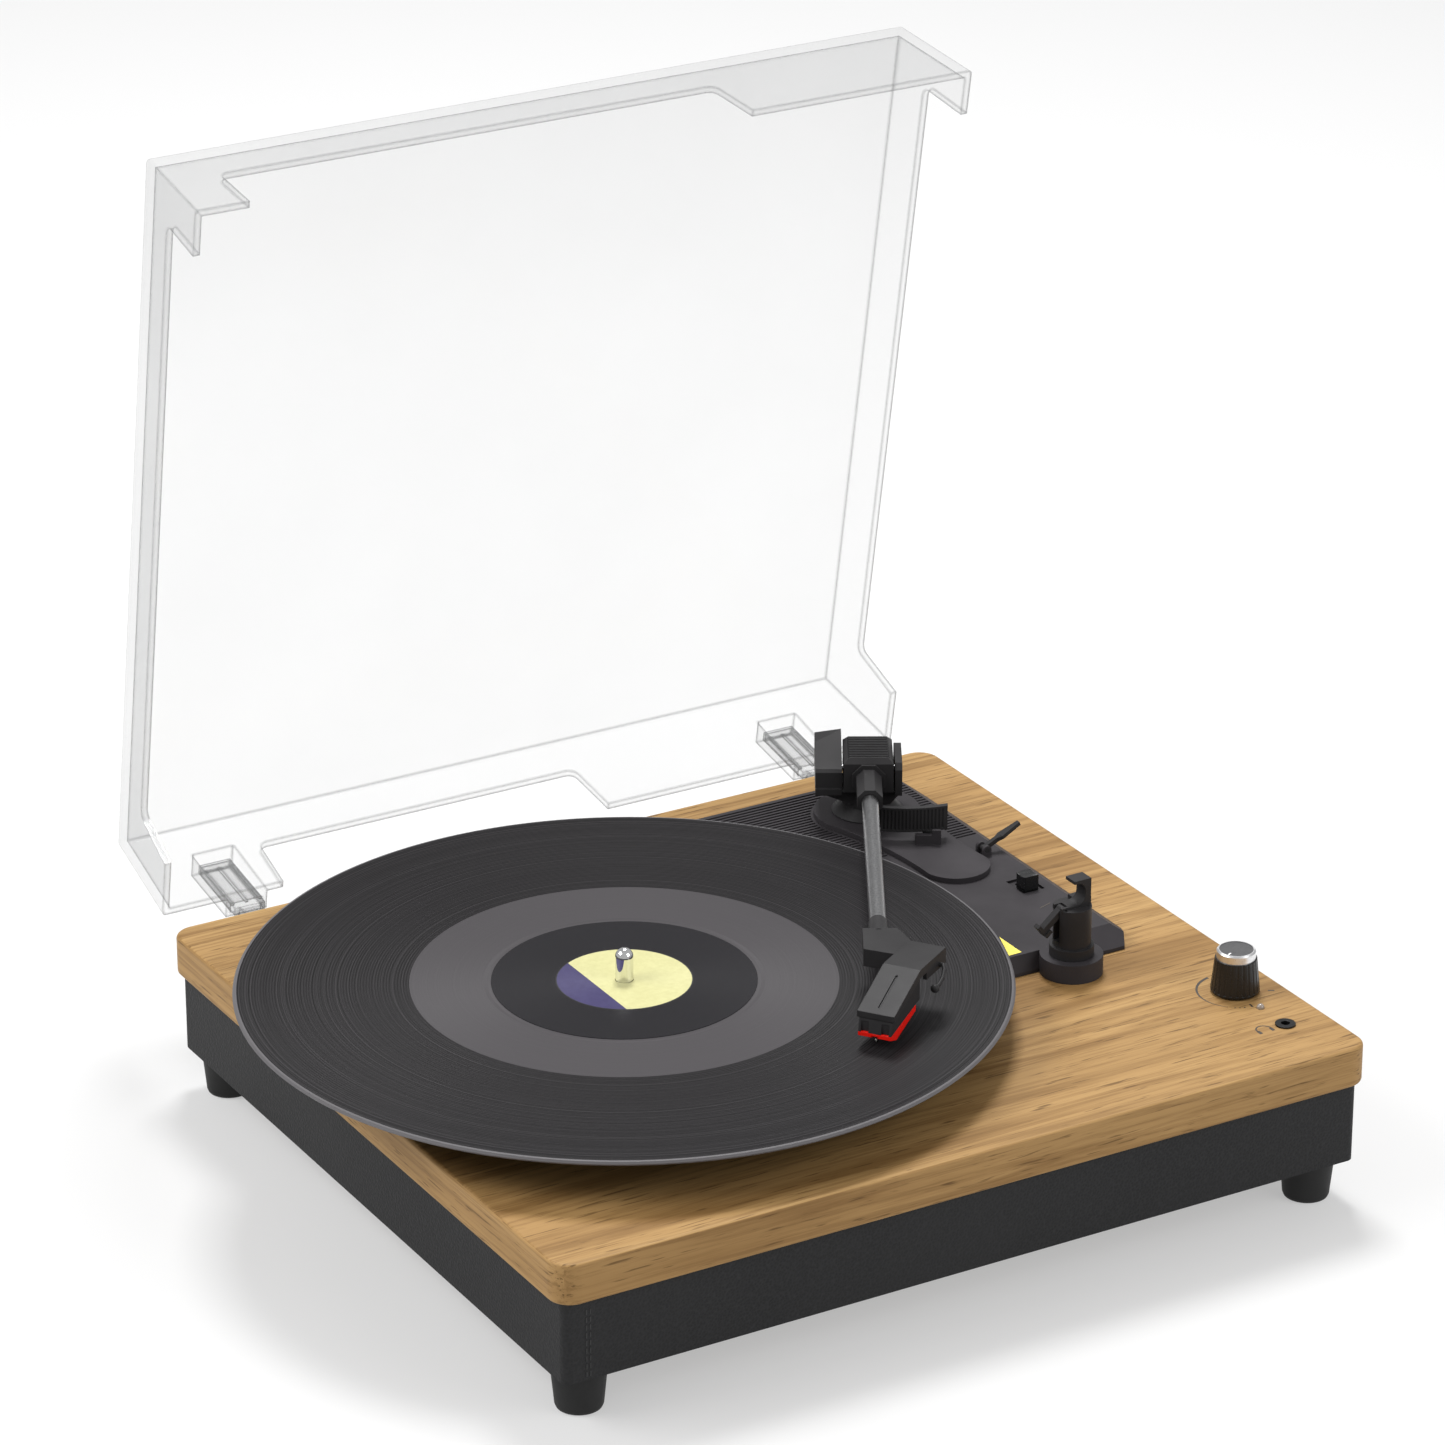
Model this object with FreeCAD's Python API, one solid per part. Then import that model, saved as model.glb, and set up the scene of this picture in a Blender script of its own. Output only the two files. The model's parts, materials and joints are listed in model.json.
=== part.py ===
import FreeCAD, Part
import math
import os

V = FreeCAD.Vector

# ---------------------------------------------------------------------------
# A belt-driven record player: a wooden deck on a low black cabinet, a tonearm
# on its own moulded plate, a record on the platter and a clear hinged lid.
# Millimetres.  It is built about the middle of the deck with the table at
# z = 0, +X to the right, +Y to the back, and moved once, at the very end, so
# that the origin is the bottom centre of the whole machine with its lid open.
# ---------------------------------------------------------------------------

# deck board and cabinet
deck_width = 356.6
deck_depth = 324.1
deck_thickness = 16.7
deck_corner = 9.0
deck_edge_round = 1.6
cabinet_inset = 3.4
cabinet_height = 33.7
cabinet_wall = 9.0
cabinet_corner = 3.5
panel_thickness = 3.0
panel_ledge = 6.5
panel_gap = 0.4
block_size = 24.0
block_height = 24.0
panel_screw_inset = 2.4

# feet
foot_height = 17.8
foot_top_radius = 10.8
foot_bottom_radius = 9.2
foot_round = 1.6
foot_inset = 16.6

# record and platter
record_x = -60.9
record_y = -0.9
record_radius = 151.0
record_thickness = 2.0
record_rim = 3.0
record_rise = 18.6
label_radius = 51.5
label_sink = 0.25
groove_sink = 0.1
record_hole_radius = 3.68
mat_radius = 98.0
mat_thickness = 2.0
platter_radius = 100.0
platter_sheet = 1.6
platter_rim_height = 9.0
drum_radius = 74.0
drum_wall = 2.0
drum_height = 7.0
hub_radius = 12.0
hub_height = 8.0
spindle_radius = 3.55
spindle_rise = 13.2
shaft_clearance = 0.05
clip_well_radius = 9.0
clip_radius = 6.4

# motor and belt
motor_angle = 135.0
pulley_radius = 4.6
pulley_flange = 1.3
pulley_gap = 7.4
belt_thickness = 0.8
belt_width = 4.0
belt_gap = 0.3
motor_radius = 17.5
motor_height = 24.0
motor_plate_thickness = 1.5
motor_shaft_radius = 1.0

# tonearm plate on the deck
plate_rise = 8.0
plate_sheet = 2.4
plate_left = -8.0
plate_right = 150.0
plate_back = 133.0
plate_front = -44.3
plate_bevel = 9.0
plate_edge = 1.5
plate_corner = 14.0
plate_record_gap = 5.0
ridge_pitch = 2.3
ridge_height = 0.7
ridge_front = 63.0
ridge_margin = 1.2
switch_x = 130.6
switch_y = 9.0
switch_travel = 5.0
switch_size = 6.4
switch_rise = 6.6

# tonearm geometry
pivot_x = 112.0
pivot_y = 102.0
pivot_z = 97.3
arm_yaw = 30.1
arm_tilt = 2.3
base_disc_radius = 22.3
base_rise = 2.2
lobe_radius = 14.4
lobe_ahead = 63.0
lobe_offset = 29.0
turret_radius = 11.0
turret_foot_radius = 15.0
bearing_radius = 7.0
arm_shaft_radius = 4.0
head_width = 20.4
head_half_depth = 14.0
head_below = 5.5
head_above = 9.2
head_chamfer = 2.3
head_rib_count = 12
head_rib_depth = 1.2
head_rib_margin = 0.5
wing_front_top = 4.1
wing_rise = 5.0
wing_left_rise = 3.2
cheek_top = 7.2
pitch_pin_radius = 1.4
cheek_gap = 0.6
wing_width = 11.0
wing_depth = 31.0
cheek_width = 3.0
collar_flats = 10.3
collar_length = 24.0
tube_radius = 3.4
tube_wall = 0.5
tube_end = 162.4
neck_radius = 3.85
neck_start = 174.8
neck_outline = [(-6.3, 174.8), (7.1, 174.8), (12.5, 188.0), (7.5, 200.5), (3.7, 199.0), (-6.3, 194.8)]
neck_thickness = 7.2
shell_offset_angle = 25.5
shell_across = 7.85
shell_ahead = 212.7
shell_half = 24.2
shell_width = 15.4
shell_top = 4.0
shell_drop = 9.8
shell_sheet = 3.4
stylus_drop = 17.6
stylus_back = 0.4

# arm rest
post_x = 113.2
post_y = -50.0
post_lobe_radius = 12.6
post_ring_radius = 8.9
post_ring_height = 4.3
post_radius = 7.6
post_top_rise = 20.8
rest_clearance = 0.35
rest_settle = 1.65
rest_beam = 1.3
rest_mouth = 1.4
rest_depth = 6.5
latch_thickness = 2.4
latch_width = 3.2
latch_length = 12.4
latch_hook = 4.6
latch_slot_gap = 0.4
latch_across = 5.4
latch_opening = 130.0
latch_pin_radius = 0.7

# cueing
lift_bar_ahead = 27.0
lift_bar_bow = 3.0
lift_bar_thickness = 2.4
lift_bar_height = 10.6
lift_bar_left = -2.0
lift_bar_rib = 1.5
lift_bar_rib_depth = 0.35
lift_bar_right = 32.0
lift_bar_gap = 0.3
lift_pin_radius = 2.2
lift_pin_gap = 0.1
lift_pin_across = 24.0
lift_pin_ahead = 28.6
lever_x = 132.6
lever_y = 45.0
lever_rise = 2.6
lever_length = 18.5
lever_angle = 24.0
lever_shaft_radius = 1.1
lever_lug_radius = 2.0
lever_lug_width = 1.3
lever_lug_offset = 2.3

# front controls
knob_x = 159.0
knob_y = -97.0
knob_base_radius = 9.7
knob_top_radius = 8.3
knob_height = 14.0
knob_gap = 0.7
knob_flutes = 24
knob_mark_angle = 205.0
cap_radius = 7.8
cap_height = 3.5
cap_boss_radius = 4.0
cap_boss = 0.8
knob_shaft_radius = 3.0
led_y = -114.5
led_radius = 1.55
jack_y = -131.3
jack_bore_radius = 1.8
jack_ring_radius = 4.0

# lid
lid_thickness = 3.0
lid_centre_x = -0.27
lid_plate_width = 338.5
lid_plate_front = -157.5
lid_plate_back = 157.1
lid_wall_height = 49.3
lid_side_draft = 2.9
lid_front_draft = 2.5
lid_back_draft = 3.4
lid_rest_gap = 0.3
lid_opening = 80.0
lid_band = 23.0
hinge_y = 168.75
hinge_z = 54.9
hinge_offsets = (-134.5, 133.5)
hinge_width = 18.5
hinge_pocket_depth = 8.2
hinge_pocket_from_plate = 17.0
knuckle_radius = 5.0
knuckle_width = 9.0
hinge_pin_radius = 1.5
ear_width = 4.2
hinge_plate = 3.0
rear_screw_length = 7.0

# rear sockets
rear_x = -78.0
rear_width = 84.0
rear_height = 22.0
rear_thickness = 1.8
rca_pitch = 15.0
rca_radius = 4.15

# screws, seats and inside fittings
screw_radius = 1.75
screw_head_radius = 3.6
screw_head_height = 2.2
foot_recess = 8.0
foot_screw_grip = 14.0
motor_screw_circle = 22.5
motor_plate_radius = 27.0
spindle_flange_radius = 14.0
spindle_seat_radius = 5.0
control_pocket = 8.5
speaker_places = (-95.0, 45.0)
speaker_y = -98.0
speaker_radius = 30.0
speaker_depth = 19.0
board_left = 62.0
board_back = 20.0
board_size_x = 92.0
board_size_y = 70.0

# heights and places that follow
box_bottom = foot_height
box_top = foot_height + cabinet_height
deck_top = box_top + deck_thickness
plate_top = deck_top + plate_rise
base_top = plate_top + base_rise
record_top = deck_top + record_rise
record_bottom = record_top - record_thickness
mat_bottom = record_bottom - mat_thickness
platter_bottom = mat_bottom - platter_sheet
belt_z = platter_bottom - 1.4 - belt_width
half_w = deck_width / 2
half_d = deck_depth / 2
out_x = half_w - cabinet_inset
out_y = half_d - cabinet_inset
in_x = out_x - cabinet_wall
in_y = out_y - cabinet_wall
foot_x = half_w - foot_inset
foot_y = half_d - foot_inset
rear_z = foot_height + cabinet_height / 2
speaker_floor = foot_height + panel_thickness
belt_reach = drum_radius + pulley_gap + pulley_radius
motor_x = record_x + belt_reach * math.cos(math.radians(motor_angle))
motor_y = record_y + belt_reach * math.sin(math.radians(motor_angle))
control_left = knob_x - 9.0
control_right = in_x - 0.6
control_front = jack_y - 8.0
control_back = knob_y + 10.0

parts = {}


# --------------------------- shape helpers ---------------------------------

def box(x0, x1, y0, y1, z0, z1):
    return Part.makeBox(x1 - x0, y1 - y0, z1 - z0, V(x0, y0, z0))


def disc(x, y, z0, z1, r):
    return Part.makeCylinder(r, z1 - z0, V(x, y, z0))


def ring(x, y, z0, z1, r, bore):
    return disc(x, y, z0, z1, r).cut(disc(x, y, z0 - 1, z1 + 1, bore))


def rod(start, along, r, length):
    return Part.makeCylinder(r, length, V(*start), V(*along))


def wire(points):
    return Part.makePolygon([V(*p) for p in points] + [V(*points[0])])


def prism(points, z0, z1):
    """A polygon in the XY plane, standing from z0 to z1."""
    face = Part.Face(wire([(x, y, z0) for x, y in points]))
    return face.extrude(V(0, 0, z1 - z0))


def prism_x(points, x0, x1):
    """A polygon of (y, z) points, running from x0 to x1."""
    face = Part.Face(wire([(x0, y, z) for y, z in points]))
    return face.extrude(V(x1 - x0, 0, 0))


def prism_y(points, y0, y1):
    """A polygon of (x, z) points, running from y0 to y1."""
    face = Part.Face(wire([(x, y0, z) for x, z in points]))
    return face.extrude(V(0, y1 - y0, 0))


def turned(points, x, y):
    """A solid of revolution about the vertical line through x, y from (radius, z) points."""
    face = Part.Face(wire([(r, 0, z) for r, z in points]))
    solid = face.revolve(V(0, 0, 0), V(0, 0, 1), 360)
    solid.translate(V(x, y, 0))
    return solid


def fuse(shapes):
    result = shapes[0]
    for other in shapes[1:]:
        result = result.fuse(other)
    return result.removeSplitter()


def slab(half_x, half_y, z0, z1, corner, cx=0.0, cy=0.0):
    """A plate with rounded upright corners."""
    body = box(cx - half_x, cx + half_x, cy - half_y, cy + half_y, z0, z1)
    upright = [e for e in body.Edges if abs(e.Vertexes[0].Z - e.Vertexes[1].Z) > 1e-6]
    return body.makeFillet(corner, upright)


def level_edges(shape, z):
    return [e for e in shape.Edges if all(abs(v.Z - z) < 1e-6 for v in e.Vertexes)]


def add(name, shape):
    parts[name] = shape


def corners():
    return [(sx * foot_x, sy * foot_y) for sx in (-1, 1) for sy in (-1, 1)]


# --------------------------- cabinet ---------------------------------------

def countersunk_screw(x, y, z, up, length):
    """A screw whose head starts at z and whose shank runs up or down."""
    way = 1 if up else -1
    head = rod((x, y, z), (0, 0, way), screw_head_radius, screw_head_height)
    start = z + way * screw_head_height
    shank = rod((x, y, start), (0, 0, way), screw_radius, length - screw_head_height)
    slot_z = z - 0.01 if up else z - 0.9
    slot = box(x - screw_head_radius, x + screw_head_radius, y - 0.45, y + 0.45, slot_z, slot_z + 0.91)
    return fuse([head, shank]).cut(slot)


def panel_screw_places():
    return [(sx * (in_x + panel_screw_inset), sy * in_y / 3) for sx in (-1, 1) for sy in (-1, 1)]


def make_cabinet():
    shell = slab(out_x, out_y, box_bottom, box_top, cabinet_corner)
    shell = shell.cut(box(-in_x, in_x, -in_y, in_y, box_bottom - 1, box_top + 1))
    ledge = panel_ledge
    rebate = box(-in_x - ledge, in_x + ledge, -in_y - ledge, in_y + ledge,
                 box_bottom - 1, box_bottom + panel_thickness)
    shell = shell.cut(rebate)
    rear = box(rear_x - rear_width / 2 + 6, rear_x + rear_width / 2 - 6, in_y - 1, out_y + 1,
               rear_z - rear_height / 2 + 3, rear_z + rear_height / 2 - 3)
    shell = shell.cut(rear)
    for x in hinge_offsets:
        for z in hinge_screw_heights():
            shell = shell.cut(rod((x, out_y + 1, z), (0, -1, 0), screw_radius, rear_screw_length + 1))
    for x in rear_screw_places():
        shell = shell.cut(rod((x, out_y + 1, rear_z), (0, -1, 0), screw_radius, rear_screw_length + 1))
    for x, y in panel_screw_places():
        shell = shell.cut(disc(x, y, box_bottom, box_bottom + panel_thickness + 10, screw_radius))
    add("cabinet_shell", shell)

    panel_x = in_x + ledge - panel_gap
    panel_y = in_y + ledge - panel_gap
    panel = box(-panel_x, panel_x, -panel_y, panel_y, box_bottom, box_bottom + panel_thickness)
    for x, y in corners():
        panel = panel.cut(disc(x, y, box_bottom - 1, box_top, screw_radius))
    for x, y in panel_screw_places():
        panel = panel.cut(disc(x, y, box_bottom - 1, box_top, screw_radius))
        panel = panel.cut(disc(x, y, box_bottom - 1, box_bottom + screw_head_height, screw_head_radius))
    for x in speaker_places:
        panel = panel.cut(grille_slots(x, speaker_y))
    add("bottom_panel", panel)

    screws = [countersunk_screw(x, y, box_bottom, True, panel_thickness + 9) for x, y in panel_screw_places()]
    add("bottom_panel_screws", Part.makeCompound(screws))

    blocks = []
    for x, y in corners():
        sx, sy = math.copysign(1, x), math.copysign(1, y)
        x0, x1 = sorted((sx * in_x, sx * (in_x - block_size)))
        y0, y1 = sorted((sy * in_y, sy * (in_y - block_size)))
        block_low = box_bottom + panel_thickness
        block = box(x0, x1, y0, y1, block_low, block_low + block_height)
        blocks.append(block.cut(disc(x, y, box_bottom, foot_height + foot_screw_grip, screw_radius)))
    add("corner_blocks", Part.makeCompound(blocks))


def make_feet():
    feet = []
    for x, y in corners():
        profile = [(0, 0), (foot_bottom_radius - foot_round, 0), (foot_bottom_radius - 0.47, 0.47),
                   (foot_bottom_radius, foot_round), (foot_top_radius, foot_height), (0, foot_height)]
        foot = turned(profile, x, y)
        foot = foot.cut(disc(x, y, -1, foot_recess + screw_head_height, screw_head_radius + 0.4))
        foot = foot.cut(disc(x, y, 0, foot_height + 1, screw_radius + 0.2))
        feet.append(foot)
    add("feet", Part.makeCompound(feet))
    screws = []
    for x, y in corners():
        seat = foot_recess + screw_head_height
        head = disc(x, y, foot_recess, seat, screw_head_radius)
        shank = disc(x, y, seat, foot_height + foot_screw_grip, screw_radius)
        cross = box(x - 2.2, x + 2.2, y - 0.4, y + 0.4, foot_recess - 0.1, foot_recess + 1.2)
        cross = cross.fuse(box(x - 0.4, x + 0.4, y - 2.2, y + 2.2, foot_recess - 0.1, foot_recess + 1.2))
        screws.append(fuse([head, shank]).cut(cross))
    add("foot_screws", Part.makeCompound(screws))


# --------------------------- deck ------------------------------------------

def make_deck():
    deck = slab(half_w, half_d, box_top, deck_top, deck_corner)
    deck = deck.makeFillet(deck_edge_round, level_edges(deck, deck_top) + level_edges(deck, box_top))
    deck = deck.cut(disc(record_x, record_y, box_top - 1, deck_top + 1, spindle_seat_radius))
    deck = deck.cut(disc(motor_x, motor_y, box_top - 1, deck_top + 1, motor_radius + 1.5))
    for x, y in motor_screws():
        deck = deck.cut(disc(x, y, deck_top - 11, deck_top + 1, screw_radius))
    deck = deck.cut(disc(pivot_x, pivot_y, box_top - 1, deck_top + 1, bearing_radius))
    pin_x, pin_y = arm_point(lift_pin_across, lift_pin_ahead)
    deck = deck.cut(disc(pin_x, pin_y, deck_top - 10, deck_top + 1, lift_pin_radius + 1.0))
    for x, y in plate_screw_places():
        deck = deck.cut(disc(x, y, box_top - 1, deck_top + 1, screw_radius))
        deck = deck.cut(disc(x, y, box_top - 1, box_top + screw_head_height, screw_head_radius))
    pocket = box(control_left, control_right, control_front, control_back, box_top - 1,
                 box_top + control_pocket)
    deck = deck.cut(pocket)
    deck = deck.cut(disc(knob_x, knob_y, box_top, deck_top + 1, 3.6))
    deck = deck.cut(disc(knob_x, led_y, box_top, deck_top + 1, led_radius + 0.05))
    deck = deck.cut(disc(knob_x, jack_y, box_top, deck_top + 1, 3.5))
    add("deck_board", deck)


# --------------------------- platter and drive -----------------------------

def make_platter():
    x, y = record_x, record_y
    # the vinyl: flat middle, raised rim bead, and a shallow seat for each label
    bead = 1.0
    groove_level = record_top - groove_sink
    profile = [(record_hole_radius, record_bottom), (record_radius - 1.0, record_bottom),
               (record_radius, record_bottom + bead), (record_radius - 0.6, record_top - 0.15),
               (record_radius - 1.4, record_top), (record_radius - record_rim, record_top),
               (record_radius - record_rim - 1.5, groove_level),
               (label_radius + 3, groove_level), (label_radius + 1.5, record_top - label_sink),
               (record_hole_radius, record_top - label_sink)]
    add("record", turned(profile, x, y))
    add("record_label", ring(x, y, record_top - label_sink, record_top - label_sink + 0.2,
                             label_radius, record_hole_radius))
    add("platter_mat", ring(x, y, mat_bottom, record_bottom, mat_radius, clip_well_radius))

    # pressed steel dish with a turned-down rim and a drum for the belt
    dish = disc(x, y, platter_bottom, mat_bottom, platter_radius)
    rim = ring(x, y, mat_bottom - platter_rim_height, platter_bottom, platter_radius,
               platter_radius - platter_sheet)
    drum = ring(x, y, platter_bottom - drum_height, platter_bottom, drum_radius, drum_radius - drum_wall)
    dish = fuse([dish, rim, drum])
    dish = dish.cut(disc(x, y, platter_bottom - 1, mat_bottom + 1, hub_radius - 3))
    rim_edge = [e for e in dish.Edges if len(e.Vertexes) == 1 and abs(e.Vertexes[0].Z - mat_bottom) < 1e-6
                and e.Length > 2 * math.pi * (platter_radius - 1)]
    dish = dish.makeFillet(platter_sheet * 0.6, rim_edge)
    add("platter", dish)

    bore = spindle_radius + shaft_clearance
    hub = fuse([ring(x, y, platter_bottom - hub_height, platter_bottom, hub_radius, bore),
                ring(x, y, platter_bottom - 1, mat_bottom, hub_radius - 3, bore)])
    add("platter_bush", hub)

    flange_top = platter_bottom - hub_height - 0.3
    post = disc(x, y, box_top - 6, record_top + spindle_rise - spindle_radius, spindle_radius)
    tip = Part.makeSphere(spindle_radius, V(x, y, record_top + spindle_rise - spindle_radius))
    groove = ring(x, y, mat_bottom, mat_bottom + 0.8, spindle_radius + 1, spindle_radius - 0.6)
    add("spindle", fuse([post, tip]).cut(groove))
    add("spindle_clip", ring(x, y, mat_bottom, mat_bottom + 0.8, clip_radius, spindle_radius - 0.6)
        .cut(box(x - 2.4, x + 2.4, y - clip_radius - 1, y, mat_bottom - 1, mat_bottom + 2)))
    collar = fuse([ring(x, y, deck_top, deck_top + 2, spindle_flange_radius, spindle_radius),
                   ring(x, y, box_top - 6, flange_top, spindle_seat_radius, spindle_radius)])
    add("spindle_bearing_plate", collar)
    add("spindle_nut", nut(x, y, box_top - 5, 4.5, 8.5, spindle_seat_radius))


def nut(x, y, z0, height, across, bore):
    r = across / math.cos(math.radians(30))
    points = [(x + r * math.cos(math.radians(a)), y + r * math.sin(math.radians(a))) for a in range(0, 360, 60)]
    return prism(points, z0, z0 + height).cut(disc(x, y, z0 - 1, z0 + height + 1, bore))


def motor_screws():
    return [(motor_x + motor_screw_circle * math.cos(math.radians(a)),
             motor_y + motor_screw_circle * math.sin(math.radians(a))) for a in (15, 135, 255)]


def make_drive():
    x, y = motor_x, motor_y
    plate_top_z = deck_top + motor_plate_thickness
    plate = ring(x, y, deck_top, plate_top_z, motor_plate_radius, 4.5)
    for sx, sy in motor_screws():
        plate = plate.cut(disc(sx, sy, deck_top - 1, plate_top_z + 1, screw_radius))
    add("motor_plate", plate)
    can = disc(x, y, deck_top - motor_height, deck_top, motor_radius)
    can = can.makeFillet(2.0, level_edges(can, deck_top - motor_height))
    boss = disc(x, y, deck_top, deck_top + 2.6, 4.5)
    can = fuse([can, boss]).cut(disc(x, y, deck_top - 10, deck_top + 4, motor_shaft_radius + shaft_clearance))
    add("motor_can", can)
    add("motor_screws", Part.makeCompound(
        [countersunk_screw(sx, sy, plate_top_z + screw_head_height, False, 12) for sx, sy in motor_screws()]))

    low = belt_z - pulley_flange
    high = belt_z + belt_width + 0.8
    profile = [(motor_shaft_radius, low), (pulley_radius + pulley_flange, low),
               (pulley_radius + pulley_flange, belt_z - 0.5), (pulley_radius, belt_z - 0.2),
               (pulley_radius, belt_z + belt_width + 0.2),
               (pulley_radius + pulley_flange, belt_z + belt_width + 0.5),
               (pulley_radius + pulley_flange, high), (motor_shaft_radius, high)]
    add("motor_pulley", turned(profile, x, y))
    add("motor_shaft", disc(x, y, deck_top - 9, high, motor_shaft_radius))
    add("drive_belt", belt_loop())


def belt_loop():
    """An open belt round the drum and the pulley, standing belt_gap off both."""
    def loop(extra):
        big = drum_radius + extra
        small = pulley_radius + extra
        lean = math.acos((big - small) / belt_reach)
        base = math.radians(motor_angle)

        def at(cx, cy, r, a):
            return V(cx + r * math.cos(a), cy + r * math.sin(a), belt_z)
        a0, a1 = base + lean, base - lean
        far, near = base + math.pi, base
        big_arc = Part.Arc(at(record_x, record_y, big, a0), at(record_x, record_y, big, far),
                           at(record_x, record_y, big, a1)).toShape()
        small_arc = Part.Arc(at(motor_x, motor_y, small, a1), at(motor_x, motor_y, small, near),
                             at(motor_x, motor_y, small, a0)).toShape()
        side_a = Part.LineSegment(at(record_x, record_y, big, a1), at(motor_x, motor_y, small, a1)).toShape()
        side_b = Part.LineSegment(at(motor_x, motor_y, small, a0), at(record_x, record_y, big, a0)).toShape()
        return Part.Face(Part.Wire([big_arc, side_a, small_arc, side_b]))
    outer = loop(belt_gap + belt_thickness).extrude(V(0, 0, belt_width))
    return outer.cut(loop(belt_gap).extrude(V(0, 0, belt_width)))


# --------------------------- tonearm plate ---------------------------------

def arm_point(across, ahead):
    """Where a point of the arm at rest is, from its distance across and ahead of the pivot."""
    a = math.radians(arm_yaw)
    return (pivot_x + across * math.cos(a) - ahead * math.sin(a),
            pivot_y - across * math.sin(a) - ahead * math.cos(a))


def plate_screw_places():
    return [(pivot_x - 12, pivot_y + 22), (plate_right - 16, pivot_y + 16), (plate_right - 20, -22),
            (post_x - 6, post_y + 14)]


def plate_solid(shrink, z_low, z_high, bevel_top):
    """The plate's outer form, or its hollow when it is shrunk by the wall."""
    s = shrink
    left, right = plate_left + s, plate_right - s
    front, back = plate_front + s, plate_back - s
    cut = plate_corner
    outline = [(left, front), (right - cut * 0.55, front), (right, front + cut), (right, back - cut * 1.2),
               (right - cut * 0.35, back - cut * 0.35), (right - cut * 1.2, back), (left, back)]
    body = prism(outline, z_low, z_high)
    # the right side slopes down to a thin edge, and so does the front to the right of the rest post
    drop = bevel_top - (deck_top + plate_edge)
    edge_low = bevel_top - drop * (plate_bevel + 1) / plate_bevel
    slope = prism_y([(right - plate_bevel, bevel_top), (right + 1, edge_low), (right + 1, bevel_top + 5),
                     (right - plate_bevel, bevel_top + 5)], front - 1, back + 1)
    body = body.cut(slope)
    lean = prism_x([(front + 2.6, bevel_top), (front - 1, bevel_top - 9), (front - 1, bevel_top + 5),
                    (front + 2.6, bevel_top + 5)], left - 1, right + 1)
    body = body.cut(lean)
    nose = prism_x([(front - 1, edge_low), (front + plate_bevel, bevel_top), (front + plate_bevel, bevel_top + 5),
                    (front - 1, bevel_top + 5)], post_x + 6, right + 1)
    body = body.cut(nose)
    lobe = disc(post_x, post_y, z_low, z_high, post_lobe_radius - s)
    return body.fuse(lobe)


def make_plate():
    outer = plate_solid(0.0, deck_top, plate_top, plate_top)
    inner = plate_solid(plate_sheet, deck_top - 1, plate_top - plate_sheet, plate_top - plate_sheet)
    plate = outer.cut(inner)
    # clearance round the platter and its record
    well = disc(record_x, record_y, deck_top - 1, plate_top + 1, record_radius + plate_record_gap)
    reach = prism([(plate_left - 1, plate_front - 20), (plate_right, plate_front - 20),
                   (plate_right, plate_back + 1), (plate_left - 1, plate_back + 1)], deck_top - 1, plate_top + 1)
    web = disc(record_x, record_y, deck_top - 1, plate_top + 1, platter_radius + 49)
    plate = plate.cut(web.common(reach))
    # wall that closes the plate along that curve
    curb = well.cut(web).common(reach).common(
        plate_solid(0.0, deck_top, plate_top, plate_top)).common(
        ring(record_x, record_y, deck_top, plate_top, platter_radius + 49 + plate_sheet, platter_radius + 49))
    plate = plate.fuse(curb)
    # solid pads where the post, the arm bearing, the lift and the screws come through
    plate = plate.fuse(ring(pivot_x, pivot_y, deck_top, plate_top - 1, bearing_radius + 3, bearing_radius))
    for x, y in plate_screw_places():
        plate = plate.fuse(disc(x, y, deck_top, plate_top - 1, screw_radius + 2))
    plate = plate.cut(disc(pivot_x, pivot_y, deck_top - 1, plate_top + 1, bearing_radius))
    pin_x, pin_y = arm_point(lift_pin_across, lift_pin_ahead)
    plate = plate.cut(disc(pin_x, pin_y, deck_top - 1, plate_top + 1, lift_pin_radius + 1.0))
    for x, y in plate_screw_places():
        plate = plate.cut(disc(x, y, deck_top - 1, plate_top - 2, screw_radius))
    # recess and slot of the speed switch
    half = switch_size / 2
    plate = plate.cut(box(switch_x - half - 1.2, switch_x + half + 2.6, switch_y - half - 0.8,
                          switch_y + half + switch_travel + 0.8, plate_top - 1.0, plate_top + 1))
    plate = plate.cut(box(switch_x - 1.5, switch_x + 1.5, switch_y - 2.2, switch_y + switch_travel + 2.2,
                          plate_top - plate_sheet - 1, plate_top + 1))
    # fine ridges across the back of the plate
    grooves = []
    y = ridge_front
    while y < plate_back - ridge_pitch:
        grooves.append(box(plate_left - 1, plate_right - plate_bevel - 0.4, y, y + ridge_pitch * 0.5,
                           plate_top - ridge_height, plate_top + 1))
        y += ridge_pitch
    keep = base_outline_solid(plate_top - 2, plate_top + 2, ridge_margin)
    ridged = Part.makeCompound(grooves).cut(keep)
    plate = plate.cut(ridged)
    add("tonearm_plate", fuse([plate] + lever_lugs()))

    reach = deck_thickness + plate_rise - 4
    screws = [countersunk_screw(x, y, box_top, True, reach) for x, y in plate_screw_places()]
    add("tonearm_plate_screws", Part.makeCompound(screws))


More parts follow.
